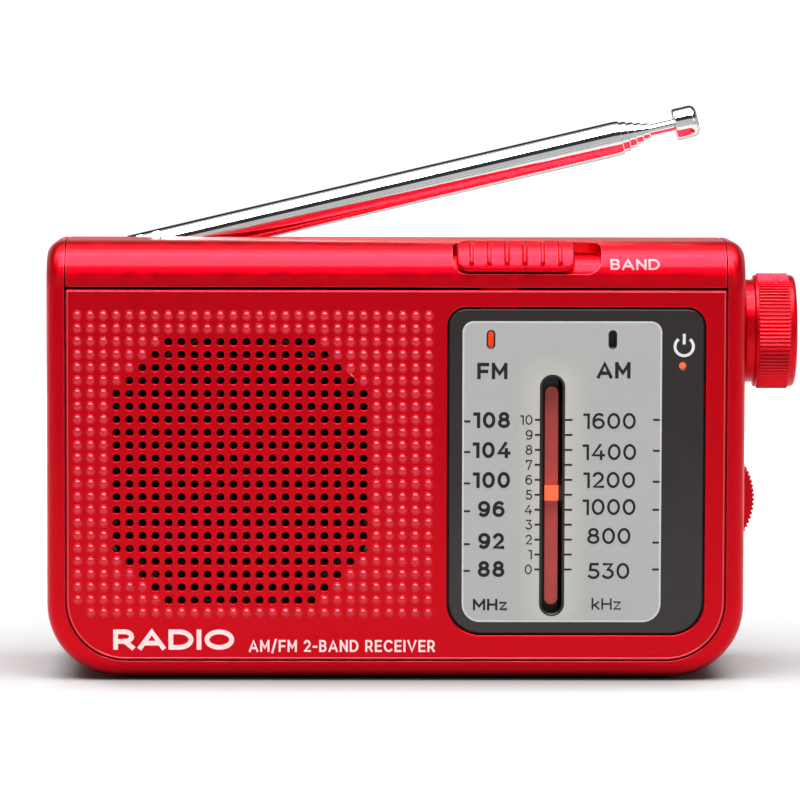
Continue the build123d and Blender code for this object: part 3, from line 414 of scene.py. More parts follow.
def metal(name, colour, rough, along=(1.0, 1.0, 1.0), depth=0.002, **sockets):
    """Plated or drawn metal with fine scratches, longer along the axes that along scales down."""
    paint = Paint(name, Metallic=1.0, **sockets)
    scratches = paint.noise(0.48, detail=5.0, stretch=along)
    haze = paint.noise(6.0)
    paint.colour(paint.blend(paint.ramp(haze, 0.0, 1.0), scaled(colour, 0.94), scaled(colour, 1.04)))
    paint.roughness(paint.ramp(scratches, rough * 0.8, rough * 1.3))
    paint.bump(scratches, depth, 0.25)
    return paint.material


def speckled(name, colour, speck, size, rough, depth):
    """Paper, foam, ferrite or board: a base colour with specks."""
    paint = Paint(name)
    specks = paint.noise(size, detail=6.0)
    paint.colour(paint.blend(paint.ramp(specks, 0.0, 1.0, 0.45, 0.6), colour, speck))
    paint.roughness(paint.ramp(specks, rough, min(1.0, rough * 1.15)))
    paint.bump(specks, depth, 0.6)
    return paint.material


def glowing_scale():
    """The dial's grey print, with a painted glow: warmer and lighter round the lit slot."""
    paint = Paint("scale_grey", Specular_IOR_Level=0.35)
    density = paint.noise(0.8, detail=4.0)
    plain = paint.blend(paint.ramp(density, 0.0, 1.0), scaled(GREY, 0.99), scaled(GREY, 1.01))
    half_height = (SLOT_Z[1] - SLOT_Z[0]) / 2
    # a painted glow from the lit bar, spread round the slot
    across = paint.falloff("X", SLOT_X, SLOT_W / 2, SLOT_W / 2 + 4.0)
    upward = paint.falloff("Z", sum(SLOT_Z) / 2, half_height - 1.0, half_height + 3.5)
    paint.colour(paint.blend(paint.math("MULTIPLY", across, upward), plain, SLOT_GLOW_GREY))
    paint.roughness(paint.ramp(density, 0.245, 0.27))
    return paint.material


RED = srgb(212, 0, 22)
GREY = srgb(158, 159, 157)
SLOT_GLOW_GREY = srgb(172, 171, 163)

materials = {
    "red_satin": red_paint("red_satin", RED, (0.95, 0.16, 0.19, 1.0)),
    # the pips' paler red is a painted highlight: they are the panel's own red
    "pip_red_painted_highlight": red_paint("pip_red_painted_highlight", (0.74, 0.045, 0.065, 1.0), (0.85, 0.14, 0.17, 1.0)),
    # a painted highlight along the panel's edge, not worn paint
    "edge_highlight_red": red_paint("edge_highlight_red", (0.8, 0.11, 0.14, 1.0), (0.9, 0.16, 0.19, 1.0)),
    "dark_gloss": moulded("dark_gloss", srgb(38, 34, 33), 0.1, grain=3.0, depth=0.002,
                          Specular_IOR_Level=0.35),
    "scale_grey": glowing_scale(),
    "scale_rim": printed("scale_rim", srgb(184, 186, 185), 0.22),
    "ink": printed("ink", srgb(27, 25, 27), 0.6, Specular_IOR_Level=0.2),
    "white_ink": printed("white_ink", srgb(236, 208, 208), 0.4),
    "pink_ink": printed("pink_ink", srgb(206, 118, 124), 0.4),
    "icon_ink": printed("icon_ink", srgb(205, 206, 205), 0.3),
    "black_plastic": moulded("black_plastic", srgb(24, 23, 24), 0.45),
    # the emission is a painted glow: this plastic is no lamp
    "orange_plastic": moulded("orange_plastic", srgb(255, 104, 62), 0.35, Emission_Color=srgb(255, 84, 44),
                              Emission_Strength=0.5),
    # the flag's emission is a painted glow: the flag is no lamp
    "orange_flag_painted_glow": moulded("orange_flag_painted_glow", srgb(255, 62, 4), 0.35, Emission_Color=srgb(255, 62, 2),
                           Emission_Strength=0.9),
    # the bar's light colour is painted light from the lamp behind it
    "red_guide": moulded("red_guide", srgb(206, 70, 66), 0.25),
    "chrome": metal("chrome", (0.88, 0.885, 0.89, 1.0), 0.07, along=(0.15, 1.0, 1.0), depth=0.0006,
                    Specular_Tint=(0.3, 0.31, 0.33, 1.0)),
    "steel": metal("steel", (0.56, 0.56, 0.57, 1.0), 0.3),
    "brass": metal("brass", (0.72, 0.52, 0.22, 1.0), 0.28),
    "copper": metal("copper", (0.62, 0.27, 0.12, 1.0), 0.3, along=(8.0, 1.0, 1.0)),
    "white_plastic": moulded("white_plastic", srgb(224, 220, 208), 0.5),
    "lamp": moulded("lamp", srgb(255, 110, 70), 0.12, Emission_Color=srgb(255, 104, 72),
                    Emission_Strength=1.1),
    "board": speckled("board", srgb(96, 122, 52), srgb(70, 94, 38), 2.0, 0.45, 0.01),
    "cell": moulded("cell", srgb(38, 52, 92), 0.3),
    "speaker_steel": moulded("speaker_steel", srgb(64, 66, 70), 0.4, Metallic=0.7),
    "cone_paper": speckled("cone_paper", srgb(26, 25, 25), srgb(40, 38, 37), 0.8, 0.85, 0.05),
    "gasket": speckled("gasket", srgb(30, 30, 31), srgb(12, 12, 12), 0.5, 0.9, 0.05),
    "ferrite": speckled("ferrite", srgb(58, 56, 57), srgb(40, 39, 40), 0.6, 0.6, 0.02),
    "cord": speckled("cord", srgb(226, 214, 176), srgb(176, 160, 120), 0.3, 0.8, 0.03),
}


def paint_piece(obj, name):
    """Give a piece one material, in its object's own slots."""
    if not obj.data.materials:
        obj.data.materials.append(None)
    for entry in obj.material_slots:
        entry.link = "OBJECT"
        entry.material = materials[name]
    return obj


def place(obj, body, finish, slot_name=None, nodes=()):
    """Paint a new piece and let it ride on its body, standing for the CAD nodes it replaces."""
    paint_piece(obj, finish)
    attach(obj, body)
    if nodes:
        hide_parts(*nodes)
    return obj


FINISH_OF = {"band_flags": "orange_flag_painted_glow"}  # CAD nodes with another finish than their slot's


def paint_cad_nodes():
    """Every carried-over CAD node takes the material named by its slot in the record."""
    slots = {s["node"]: s["material_slot"] for s in frame["record"]["subparts"]}
    for name, obj in frame["nodes"].items():
        paint_piece(obj, FINISH_OF.get(name, slots[name]))


# -------------------------------- lettering

# A plain geometric alphabet: each character's width, and its strokes' centrelines, on capitals 1 high.
# A stroke whose last point is its first is closed.
STEM = [(0, 0), (0, 1)]
LETTERS = {
    "0": (0.68, [oval(0.34, 0.5, 0.34, 0.5, 90, 450, 32)]),
    "1": (0.26, [[(0, 0.96), (0.26, 0.96), (0.26, 0)]]),
    "2": (0.6, [oval(0.29, 0.7, 0.29, 0.3, 155, -42) + [(0.02, 0), (0.6, 0)]]),
    "3": (0.6, [[(0.04, 1), (0.55, 1), (0.27, 0.6)] + oval(0.27, 0.3, 0.33, 0.3, 80, -145)]),
    "4": (0.72, [[(0.47, 1), (0, 0.26), (0.72, 0.26)], [(0.54, 0.52), (0.54, 0)]]),
    "5": (0.6, [[(0.54, 1), (0.11, 1), (0.06, 0.58), (0.24, 0.58)] + oval(0.27, 0.29, 0.33, 0.29, 85, -145)]),
    "6": (0.64, [oval(0.36, 0.5, 0.36, 0.5, 58, 180) + [(0, 0.31)],
                 oval(0.32, 0.31, 0.32, 0.31, 180, 540, 26)]),
    "7": (0.6, [[(0, 0.82), (0, 1), (0.6, 1), (0.2, 0)]]),
    "8": (0.64, [oval(0.32, 0.27, 0.32, 0.27, 90, 450, 26), oval(0.32, 0.77, 0.26, 0.23, 90, 450, 24)]),
    "9": (0.64, [oval(0.28, 0.5, 0.36, 0.5, 238, 360) + [(0.64, 0.69)],
                 oval(0.32, 0.69, 0.32, 0.31, 0, 360, 26)]),
    "A": (0.86, [[(0, 0), (0.43, 1), (0.86, 0)], [(0.16, 0.27), (0.7, 0.27)]]),
    "B": (0.62, [STEM, [(0, 1)] + oval(0.34, 0.76, 0.24, 0.24, 90, -90) + [(0, 0.52)],
                 [(0.34, 0.52)] + oval(0.36, 0.26, 0.26, 0.26, 90, -90) + [(0, 0)]]),
    "C": (0.8, [oval(0.46, 0.5, 0.46, 0.5, 48, 312, 24)]),
    "D": (0.78, [[(0, 0), (0, 1), (0.32, 1)] + oval(0.32, 0.5, 0.46, 0.5, 90, -90, 20) + [(0, 0)]]),
    "E": (0.58, [[(0.58, 1), (0, 1), (0, 0), (0.58, 0)], [(0, 0.51), (0.52, 0.51)]]),
    "F": (0.58, [[(0.58, 1), (0, 1), (0, 0)], [(0, 0.47), (0.52, 0.47)]]),
    "H": (0.68, [STEM, [(0.68, 0), (0.68, 1)], [(0, 0.5), (0.68, 0.5)]]),
    "I": (0, [STEM]),
    "M": (0.84, [STEM, [(0.02, 0.94), (0.42, 0.3), (0.82, 0.94)], [(0.84, 1), (0.84, 0)]]),
    "N": (0.7, [STEM, [(0.02, 0.96), (0.68, 0.04)], [(0.7, 0), (0.7, 1)]]),
    "O": (0.96, [oval(0.48, 0.5, 0.48, 0.5, 90, 450, 36)]),
    "R": (0.66, [STEM, [(0, 1)] + oval(0.34, 0.69, 0.28, 0.31, 90, -90) + [(0, 0.38)],
                 [(0.36, 0.38), (0.64, 0)]]),
    "V": (0.84, [[(0, 1), (0.42, 0), (0.84, 1)]]),
    "k": (0.5, [[(0, 0), (0, 1.05)], [(0.46, 0.7), (0, 0.24)], [(0.18, 0.4), (0.5, 0)]]),
    "z": (0.46, [[(0, 0.7), (0.46, 0.7), (0, 0), (0.46, 0)]]),
    "-": (0.3, [[(0, 0.42), (0.3, 0.42)]]),
    "/": (0.4, [[(0, -0.12), (0.4, 1.1)]]),
    " ": (0.12, []),
}
LETTER_GAP = 0.16  # between letters, beside one stroke's width, as a share of the height
MITRE_LIMIT = 1.5
STACK = 0.0006  # each stroke lies this much higher than the last,
STACK_SIZE = 7  # up to so many, so that strokes that cross never share a plane


class Print:
    """One printed layer: strokes and bars collected into a single thin mesh on the plane y."""

    def __init__(self, y, longest=100.0):
        """Straight strokes are cut into steps no longer than longest, so that they can be bent."""
        self.y = y
        self.longest = longest
        self.verts = []
        self.faces = []
        self.strokes = 0

    def stroke(self, points, weight, square_ends=True):
        """A ribbon of this width along a centreline, with mitred corners.

        Square ends reach half a width further.
        """
        points = self.in_steps([Vector(p) for p in points])
        is_closed = (points[0] - points[-1]).length < 1e-6
        if is_closed:
            points.pop()
        elif square_ends:
            for end, inner in ((0, 1), (-1, -2)):
                points[end] = points[end] + (points[end] - points[inner]).normalized() * weight / 2
        count, half = len(points), weight / 2
        self.strokes += 1
        top = self.y - PRINT_T - STACK * (self.strokes % STACK_SIZE)
        start = len(self.verts)
        for i, point in enumerate(points):
            ways = []
            if i or is_closed:
                ways.append((point - points[i - 1]).normalized())
            if i < count - 1 or is_closed:
                ways.append((points[(i + 1) % count] - point).normalized())
            along = sum(ways, Vector((0.0, 0.0))).normalized()
            across = Vector((-along.y, along.x))
            reach = half * min(MITRE_LIMIT, 1 / max(0.2, along.dot(ways[0])))
            for side, y in ((reach, top), (-reach, top), (-reach, self.y), (reach, self.y)):
                self.verts.append((point.x + across.x * side, y, point.y + across.y * side))
        for i in range(count if is_closed else count - 1):
            low, high = start + 4 * i, start + 4 * ((i + 1) % count)
            for k in range(4):
                m = (k + 1) % 4
                self.faces.append((low + k, low + m, high + m, high + k))
        if not is_closed:
            end = start + 4 * (count - 1)
            self.faces += [tuple(start + k for k in range(4)), tuple(end + k for k in reversed(range(4)))]

    def in_steps(self, points):
        """The same centreline with its long runs cut up, and without repeated points."""
        stepped = [points[0]]
        for first, second in zip(points, points[1:]):
            steps = ceil((second - first).length / self.longest)
            stepped += [first.lerp(second, (i + 1) / steps) for i in range(steps)]
        return stepped

    def text(self, body, x, z, height, weight, width=None, align=0.5, stretch=1.0):
        """Lettering centred on height z, with strokes of this weight, stretched to the width if one is given.

        align says which part of its width is at x: 0 the left edge, 0.5 the middle, 1 the right edge.
        """
        scale = height - weight
        gap = LETTER_GAP * height + weight
        fixed = gap * (len(body) - 1) + weight
        letters = sum(LETTERS[c][0] for c in body) * scale * stretch
        if width:
            stretch *= (width - fixed) / letters
            letters = width - fixed
        left = x - align * (letters + fixed) + weight / 2
        for c in body:
            advance, strokes = LETTERS[c]
            for points in strokes:
                placed = [(left + u * scale * stretch, z - scale / 2 + v * scale) for u, v in points]
                self.stroke(placed, weight)
            left += advance * scale * stretch + gap

    def bar(self, x0, x1, z, thickness):
        self.stroke([(x0, z), (x1, z)], thickness, square_ends=False)

    def make(self, name):
        return finish_mesh(add_mesh(name, self.verts, self.faces), weld=0.00001)


# -------------------------------- front panel

def is_hole(row, col):
    """The holes of a row lie evenly about the field's middle column."""
    first = FIRST_HOLE_COL.get(row, USUAL_FIRST_COL)
    return row in OPEN_ROWS and first <= col <= 2 * FIELD_MIDDLE_COL - first


def grille_places():
    """The centres of the open holes and of the raised pips. The lower left corner is left plain."""
    holes, pips = [], []
    for row in range(GRILLE_ROWS):
        for col in range(GRILLE_COLS):
            if (row, col) == (GRILLE_ROWS - 1, 0):
                continue
            centre = (GRILLE_X0 + PITCH * col, GRILLE_Z0 - PITCH * row)
            (holes if is_hole(row, col) else pips).append(centre)
    return holes, pips


def panel_outline(inset):
    """The front panel's outline, drawn in by this much."""
    return rounded_outline(-PANEL_X + inset, PANEL_X - inset, PANEL_Z[0] + inset, PANEL_Z[1] - inset,
                           0, PANEL_CORNER_R - inset)


def make_front_panel():
    """The red skin with the dial's window and the punched holes, its pips in a paler red as a painted
    highlight, and a painted highlight along its edge.
    """
    holes, pips = grille_places()
    window = rounded_outline(LENS[0] - WINDOW_GROWTH, LENS[1] + WINDOW_GROWTH,
                             LENS[4] - WINDOW_GROWTH, LENS[5] + WINDOW_GROWTH,
                             LENS_TOP_R + WINDOW_GROWTH, LENS_BOTTOM_R + WINDOW_GROWTH)
    mouths = [circle_outline(x, z, HOLE_MOUTH_R) for x, z in holes]
    outlines = [panel_outline(PANEL_CHAMFER), window] + mouths
    plate = curve_plate("front_panel_skin", outlines, FRONT, PANEL_BACK, edge=HOLE_CHAMFER)
    place(plate, "case", "red_satin", "red_satin", ["front_panel"])
    # the pips take a paler red as a painted highlight
    place(make_bumps("grille_pips", pips, PIP_PROFILE), "case", "pip_red_painted_highlight", "red_satin")
    place(make_bumps("pip_rings", pips, RING_PROFILE), "case", "red_satin", "red_satin")
    make_panel_bead()


# profiles of a pip and of the low ring round its foot, as (radius, height)
PIP_DOME_R = 0.833
PIP_H = 0.295
PIP_PROFILE = [(0.66, -0.02), (0.65, 0.03)]
PIP_PROFILE += [(PIP_DOME_R * sin(radians(a)), PIP_H - PIP_DOME_R * (1 - cos(radians(a))))
                for a in range(48, 11, -4)]
PIP_PROFILE += [(0.12, 0.25), (0.0, 0.245)]
RING_PROFILE = [(0.9, -0.02), (0.88, 0.025), (0.83, 0.04), (0.78, 0.025), (0.75, -0.02)]


def make_bumps(name, places, profile, steps=20):
    """Small round shapes on the panel's face. A profile that ends at radius 0 is closed at its centre."""
    verts, faces = [], []
    is_closed = profile[-1][0] == 0.0
    rings = profile[:-1] if is_closed else profile
    for x, z in places:
        start = len(verts)
        for r, h in rings:
            for i in range(steps):
                a = 2 * pi * i / steps
                verts.append((x + r * cos(a), FRONT - h, z + r * sin(a)))
        for ring in range(len(rings) - 1):
            for i in range(steps):
                j = (i + 1) % steps
                low, high = start + ring * steps, start + (ring + 1) * steps
                faces.append((low + i, low + j, high + j, high + i))
        if is_closed:
            top, centre = start + (len(rings) - 1) * steps, len(verts)
            verts.append((x, FRONT - profile[-1][1], z))
            faces += [(top + i, top + (i + 1) % steps, centre) for i in range(steps)]
    return finish_mesh(add_mesh(name, verts, faces), sharp=60)


def make_panel_bead():
    """A painted highlight: a bright line along the panel's edge, where its chamfer catches the light."""
    rings = [panel_outline(PANEL_CHAMFER), panel_outline(PANEL_CHAMFER + EDGE_HIGHLIGHT_W)]
    highlight_line = curve_plate("panel_edge_highlight", rings, FRONT - PRINT_T, FRONT + FILM_ROOT)
    place(highlight_line, "case", "edge_highlight_red", "red_satin")


def make_panel_words():
    words = Print(FRONT)
    words.text("RADIO", x=-47.9, z=7.05, height=3.45, weight=0.8, width=20.5, align=0.0)
    words.text("AM/FM 2-BAND RECEIVER", x=-24.9, z=5.98, height=2.05, weight=0.33, width=31.6, align=0.0)
    place(words.make("panel_words"), "case", "white_ink")


def wrap_on_round(verts, lift):
    """Points drawn as (x, -height, degrees up the round) bent onto the rounded front edge of the top."""
    bent = []
    for x, y, angle in verts:
        r = ROUND_R + lift - y
        bent.append((x, ROUND_Y - r * cos(radians(angle)), ROUND_Z + r * sin(radians(angle))))
    return bent


def make_band_word():
    """The word beside the switch, wrapped onto the rounded front edge of the top."""
    low, high = BAND_ANGLES
    degrees_per_mm = 180 / (pi * ROUND_R)
    word = Print(0.0, longest=0.25)
    word.text("BAND", x=40.35, z=0.0, height=(high - low) / degrees_per_mm, weight=0.36, width=8.35)
    flat = [(x, y, (low + high) / 2 + z * degrees_per_mm) for x, y, z in word.verts]
    word.verts = wrap_on_round(flat, lift=0.004)
    place(word.make("band_word"), "case", "pink_ink")


# -------------------------------- dial

def inset_outline(box, top_r, bottom_r, inset):
    """A rounded rectangle drawn in from the box (x0, x1, z0, z1)."""
    x0, x1, z0, z1 = box
    return rounded_outline(x0 + inset, x1 - inset, z0 + inset, z1 - inset, top_r - inset, bottom_r - inset)


def band_windows():
    """The small windows over FM and AM."""
    return [pill_outline(x, PILL_Z - PILL_H / 2, PILL_Z + PILL_H / 2, PILL_W) for x in (FM_X, AM_X)]


def make_lens_plate():
    """The dark gloss plate, open at the slot, the band windows and the power lamp."""
    outline = inset_outline((LENS[0], LENS[1], LENS[4], LENS[5]), LENS_TOP_R, LENS_BOTTOM_R, LENS_INSET)
    slot = pill_outline(SLOT_X, SLOT_Z[0], SLOT_Z[1], SLOT_W)
    lamp = circle_outline(LED_X, LED_Z, LED_HOLE_R)
    plate = curve_plate("lens_plate", [outline, slot] + band_windows() + [lamp], LENS_FRONT, PANEL_BACK,
                        edge=LENS_EDGE_R, edge_steps=4)
    place(plate, "case", "dark_gloss", "dark_gloss", ["dial_lens", "scale_plate"])


def make_scale_field():
    """The dial's grey print and its lighter rim."""
    outer = inset_outline(SCALE, SCALE_TOP_R, SCALE_BOTTOM_R, 0.0)
    inner = inset_outline(SCALE, SCALE_TOP_R, SCALE_BOTTOM_R, SCALE_RIM_W)
    rim = curve_plate("scale_rim", [outer, inner], LENS_FRONT - PRINT_T, LENS_FRONT + FILM_ROOT)
    place(rim, "case", "scale_rim", "scale_grey")
    slot = pill_outline(SLOT_X, SLOT_Z[0] - SLOT_BORDER, SLOT_Z[1] + SLOT_BORDER, SLOT_W + 2 * SLOT_BORDER)
    field = curve_plate("scale_field", [inner, slot] + band_windows(), LENS_FRONT - PRINT_T,
                        LENS_FRONT + FILM_ROOT)
    place(field, "case", "scale_grey", "scale_grey")


def make_light_bar():
    """The lit bar has rounded ends; its light is painted into its colour. The flange that holds it is painted
    black as painted shade, for the dark round the bar in the slot.
    """
    front, middle, back = BAR[2], BAR[3] - BAR_FLANGE_T, BAR[3]
    end_r = (BAR_X[1] - BAR_X[0]) / 2
    outline = inset_outline(BAR_X + BAR_Z, end_r, end_r, BAR_EDGE_R)
    bar = curve_plate("light_bar", [outline], front, middle, edge=BAR_EDGE_R)
    place(bar, "case", "red_guide", "red_guide", ["light_guide"])
    # the flange is painted black as painted shade: it lies in the dark behind the slot
    outline = rounded_outline(BAR[0], BAR_X[1], BAR[4], BAR[5], 0.3, 0.3, 4)
    flange = curve_plate("light_bar_flange", [outline], middle, back)
    place(flange, "case", "black_plastic", "black_plastic")


# the heights of the frequencies and of their ticks, and the ticks' free ends
FM_NUMBERS = {"108": 44.57, "104": 39.47, "100": 34.36, "96": 29.41, "92": 23.95, "88": 19.17}
AM_NUMBERS = {"1600": 44.43, "1400": 39.15, "1200": 34.38, "1000": 29.78, "800": 24.83, "530": 18.85}
FM_TICKS = (44.33, 39.11, 33.77, 29.03, 23.4, 18.84)
AM_TICKS = (44.63, 39.37, 34.1, 29.31, 23.71, 19.11)
FM_TICK_END = 12.56
AM_TICK_END = 43.5
NUMBER_H = 2.74
BAND_H = 2.78
UNIT_H = 1.95
TICK_T = 0.33

# the plain scale from 0 to 10 along the slot
LOG_ZERO_Z = 19.1
LOG_STEP = 2.55
LOG_NUMBER_END = 23.08
LOG_NUMBER_H = 1.67
LOG_TICK_ENDS = (23.5, 29.84)


def make_scale_print():
    """Everything printed in black on the dial: two frequency scales and a 0 to 10 scale along the slot."""
    ink = Print(LENS_FRONT - PRINT_T)
    for body, z in FM_NUMBERS.items():
        ink.text(body, x=16.17, z=z, height=NUMBER_H, weight=0.56, stretch=1.06)
    for body, z in AM_NUMBERS.items():
        ink.text(body, x=36.12, z=z, height=NUMBER_H, weight=0.42, stretch=1.12)
    ink.text("FM", x=16.25, z=52.9, height=BAND_H, weight=0.58, width=5.1)
    ink.text("AM", x=36.77, z=53.05, height=BAND_H, weight=0.58, width=5.7)
    ink.text("MHz", x=16.0, z=13.08, height=UNIT_H, weight=0.38, width=5.77)
    ink.text("kHz", x=35.75, z=13.2, height=UNIT_H, weight=0.28, width=4.99)
    border = SLOT_W / 2 + SLOT_BORDER
    for i in range(11):
        z = LOG_ZERO_Z + LOG_STEP * i
        ink.text(str(i), x=LOG_NUMBER_END, z=z, height=LOG_NUMBER_H, weight=0.22, align=1.0)
        ink.bar(LOG_TICK_ENDS[0], SLOT_X - border, z, TICK_T)
        ink.bar(SLOT_X + border, LOG_TICK_ENDS[1], z, TICK_T)
    for z in FM_TICKS:
        ink.bar(SCALE[0] + SCALE_RIM_W, FM_TICK_END, z, TICK_T)
    for z in AM_TICKS:
        ink.bar(AM_TICK_END, SCALE[1] - SCALE_RIM_W, z, TICK_T)
    place(ink.make("dial_print"), "case", "ink")


ICON_AT = (48.67, 57.1)
ICON_R = 1.56
ICON_WEIGHT = 0.48
ICON_GAP = 38.0  # half the ring's opening, in degrees
ICON_BAR = (0.35, 2.15)  # the upright bar's ends, up from the ring's centre


def make_power_icon():
    """The usual on/off symbol: a ring open at the top, and a short upright bar."""
    x, z = ICON_AT
    icon = Print(LENS_FRONT)
    ring = oval(x, z, ICON_R, ICON_R, 90 + ICON_GAP, 450 - ICON_GAP, 28)
    icon.stroke(ring, ICON_WEIGHT, square_ends=False)
    icon.stroke([(x, z + end) for end in ICON_BAR], ICON_WEIGHT, square_ends=False)
    place(icon.make("power_icon"), "case", "icon_ink")


# -------------------------------- band switch

SWITCH_LOW, SWITCH_HIGH = 21.2, 75.5  # the thumb piece, in degrees up the round
SWITCH_TOP_R = ROUND_R + 0.6  # its face and its foot, from the round's own centre line
SWITCH_FOOT_R = ROUND_R - 1.9
SWITCH_EDGE = 0.55  # the radius of its softened edges
SWITCH_CORNER = 2.3  # the radius of its corners
RIB_COUNT = 6
RIB_PITCH = 3.0
RIB_HALF_W = 0.42
RIB_H = 0.4
RIB_ANGLES = (32.0, 62.5)  # the ribs' ends, in degrees up the round


def fine_ends(length, step, edge):
    """Places from 0 to length, evenly spaced inside and closer together near both ends."""
    ends = [edge * share for share in (0.0, 0.03, 0.12, 0.27, 0.5, 0.8)]  # follows a rounded edge
    count = ceil((length - 2 * edge) / step)
    inside = [edge + (length - 2 * edge) * i / count for i in range(count + 1)]
    return ends + inside + [length - e for e in reversed(ends)]


def dome(distance, reach, height):
    """The height of a rounded edge, at this distance in from where it starts."""
    share = min(1.0, max(0.0, distance / reach))
    return height * sqrt(1 - (1 - share) ** 2)


def make_band_knob():
    """The thumb piece: a curved pad with softened edges, rounded corners and six upright ribs.

    Its surface is a net of columns along x and of heights s up the round.
    """
    mm_per_degree = pi / 180 * SWITCH_TOP_R
    x0, x1 = SWITCH[0], SWITCH[1]
    length, rise = x1 - x0, (SWITCH_HIGH - SWITCH_LOW) * mm_per_degree
    rib_low = (RIB_ANGLES[0] - SWITCH_LOW) * mm_per_degree
    rib_high = (RIB_ANGLES[1] - SWITCH_LOW) * mm_per_degree
    rib_x = [length / 2 + RIB_PITCH * (i - (RIB_COUNT - 1) / 2) for i in range(RIB_COUNT)]

    def radius(x, s, low):
        inside = min(x, length - x, s - low, rise - low - s)
        h = dome(inside, SWITCH_EDGE, SWITCH_EDGE) - SWITCH_EDGE
        for rx in rib_x:
            off = hypot(x - rx, s - min(rib_high, max(rib_low, s)))
            if off < RIB_HALF_W:
                h += RIB_H * sqrt(1 - (off / RIB_HALF_W) ** 2)
        return SWITCH_TOP_R + h

    def point(x, s, r):
        angle = radians(SWITCH_LOW) + s / SWITCH_TOP_R
        return (x0 + x, ROUND_Y - r * cos(angle), ROUND_Z + r * sin(angle))

    columns = fine_ends(length, 0.1, SWITCH_EDGE)
    shares = [s / rise for s in fine_ends(rise, 0.2, SWITCH_EDGE)]
    verts, faces = [], []
    for x in columns:
        into = SWITCH_CORNER - min(x, length - x)
        low = SWITCH_CORNER - sqrt(SWITCH_CORNER**2 - into**2) if into > 0 else 0.0
        heights = [low + (rise - 2 * low) * share for share in shares]
        verts += [point(x, s, radius(x, s, low)) for s in heights]
        verts += [point(x, heights[-1], SWITCH_FOOT_R), point(x, heights[0], SWITCH_FOOT_R)]
    rows = len(shares) + 2
    for c in range(len(columns) - 1):
        for k in range(rows):
            m = (k + 1) % rows
            faces.append((c * rows + k, c * rows + m, (c + 1) * rows + m, (c + 1) * rows + k))
    last = (len(columns) - 1) * rows
    faces += [tuple(range(rows)), tuple(last + k for k in reversed(range(rows)))]
    knob = finish_mesh(add_mesh("band_thumb_piece", verts, faces), sharp=60)
    place(knob, "band_switch", "red_satin", "red_satin", ["band_knob"])


CARD_X = (11.0, 41.2)
CARD_HALF_H = 2.58


def make_window_card():
    """A thin black card behind the flags, seen through a band window when its flag is away."""
    y = FLAGS[3]
    outline = rounded_outline(CARD_X[0], CARD_X[1], PILL_Z - CARD_HALF_H, PILL_Z + CARD_HALF_H, 0.3, 0.3, 4)
    card = curve_plate("window_card", [outline], y - PRINT_T, y + FILM_ROOT)
    place(card, "band_switch", "black_plastic", "black_plastic")


# -------------------------------- knob and wheel at the right side

KNOB_RIBS = 92
KNOB_R = 9.88  # over the ribs
KNOB_RIB_H = 0.3
KNOB_EDGE_R = 0.85
COLLAR_R = 8.8
COLLAR_EDGE_R = 0.2
GRIP = (61.35, 68.49)  # the grip's inner end and its outer face
GRIP_INNER_R = 0.3
WHEEL_TEETH = 86
WHEEL_TOOTH = 0.4
WHEEL_SOFT = 0.5  # the radius of its softened rims
WHEEL_BORE_R = 1.85
WHEEL_DISH_R = 8.2


def make_tuning_knob():
    """A smooth collar, a grip with fine rounded ribs between plain rims, and a slightly hollowed end face."""
    inner, outer = GRIP
    start = KNOB[0]
    root = KNOB_R - KNOB_RIB_H
    profile = [(start, 6.0), (start, COLLAR_R - COLLAR_EDGE_R)]
    profile += arc(start + COLLAR_EDGE_R, COLLAR_R - COLLAR_EDGE_R, COLLAR_EDGE_R, 180, 90, 4)[1:]
    profile += [(inner - 0.1, COLLAR_R), (inner, COLLAR_R + 0.08)]
    profile += arc(inner + GRIP_INNER_R, root - GRIP_INNER_R, GRIP_INNER_R, 180, 90, 4)
    profile += [(inner + 0.55, root), (inner + 0.75, KNOB_R), (outer - 1.35, KNOB_R), (outer - 1.15, root)]
    profile += arc(outer - KNOB_EDGE_R, root - KNOB_EDGE_R, KNOB_EDGE_R, 80, 0, 7)
    profile += [(outer, root - 1.1), (outer - 0.12, root - 1.5), (outer - 0.2, root - 2.2)]
    profile += [(outer - 0.2, 0.4)]
    centre_z = (KNOB[4] + KNOB[5]) / 2

    def radius_at(along, r, turn):
        if r <= root + 0.001:
            return r
        return root + (r - root) * (0.5 + 0.5 * cos(KNOB_RIBS * turn)) ** 0.8

    knob = lathe("tuning_knob_grip", profile, (0.0, 0.0, centre_z), (1, 0, 0), KNOB_RIBS * 6, radius_at)
    place(knob, "tuning_knob", "red_satin", "red_satin", ["tuning_knob"])


def make_volume_wheel():
    """A thin wheel with rounded teeth, softened sides, a sunk front face and a bore for its shaft."""
    y0, y1 = WHEEL[2], WHEEL[3]
    centre = ((WHEEL[0] + WHEEL[1]) / 2, 0.0, (WHEEL[4] + WHEEL[5]) / 2)
    outer_r = (WHEEL[5] - WHEEL[4]) / 2
    rim_r = outer_r - WHEEL_SOFT
    dish = WHEEL_DISH_R
    profile = [(y0 + 1.0, WHEEL_BORE_R), (y0 + 1.0, dish - 0.3), (y0 + 0.7, dish), (y0 + 0.1, dish)]
    profile += [(y0, dish + 0.15)]
    profile += arc(y0 + WHEEL_SOFT, rim_r, WHEEL_SOFT, 180, 90, 6)
    profile += arc(y1 - WHEEL_SOFT, rim_r, WHEEL_SOFT, 90, 0, 6)
    profile += [(y1, dish), (y1, WHEEL_BORE_R)]

    def radius_at(along, r, turn):
        depth = WHEEL_TOOTH * min(1.0, max(0.0, (r - outer_r + WHEEL_SOFT) / WHEEL_SOFT))
        return r - depth * (0.5 - 0.5 * cos(WHEEL_TEETH * turn)) ** 0.7

    wheel = lathe("volume_thumbwheel", profile, centre, (0, 1, 0), WHEEL_TEETH * 8, radius_at, closed=True)
    place(wheel, "volume_wheel", "red_satin", "red_satin", ["volume_wheel"])


# -------------------------------- antenna

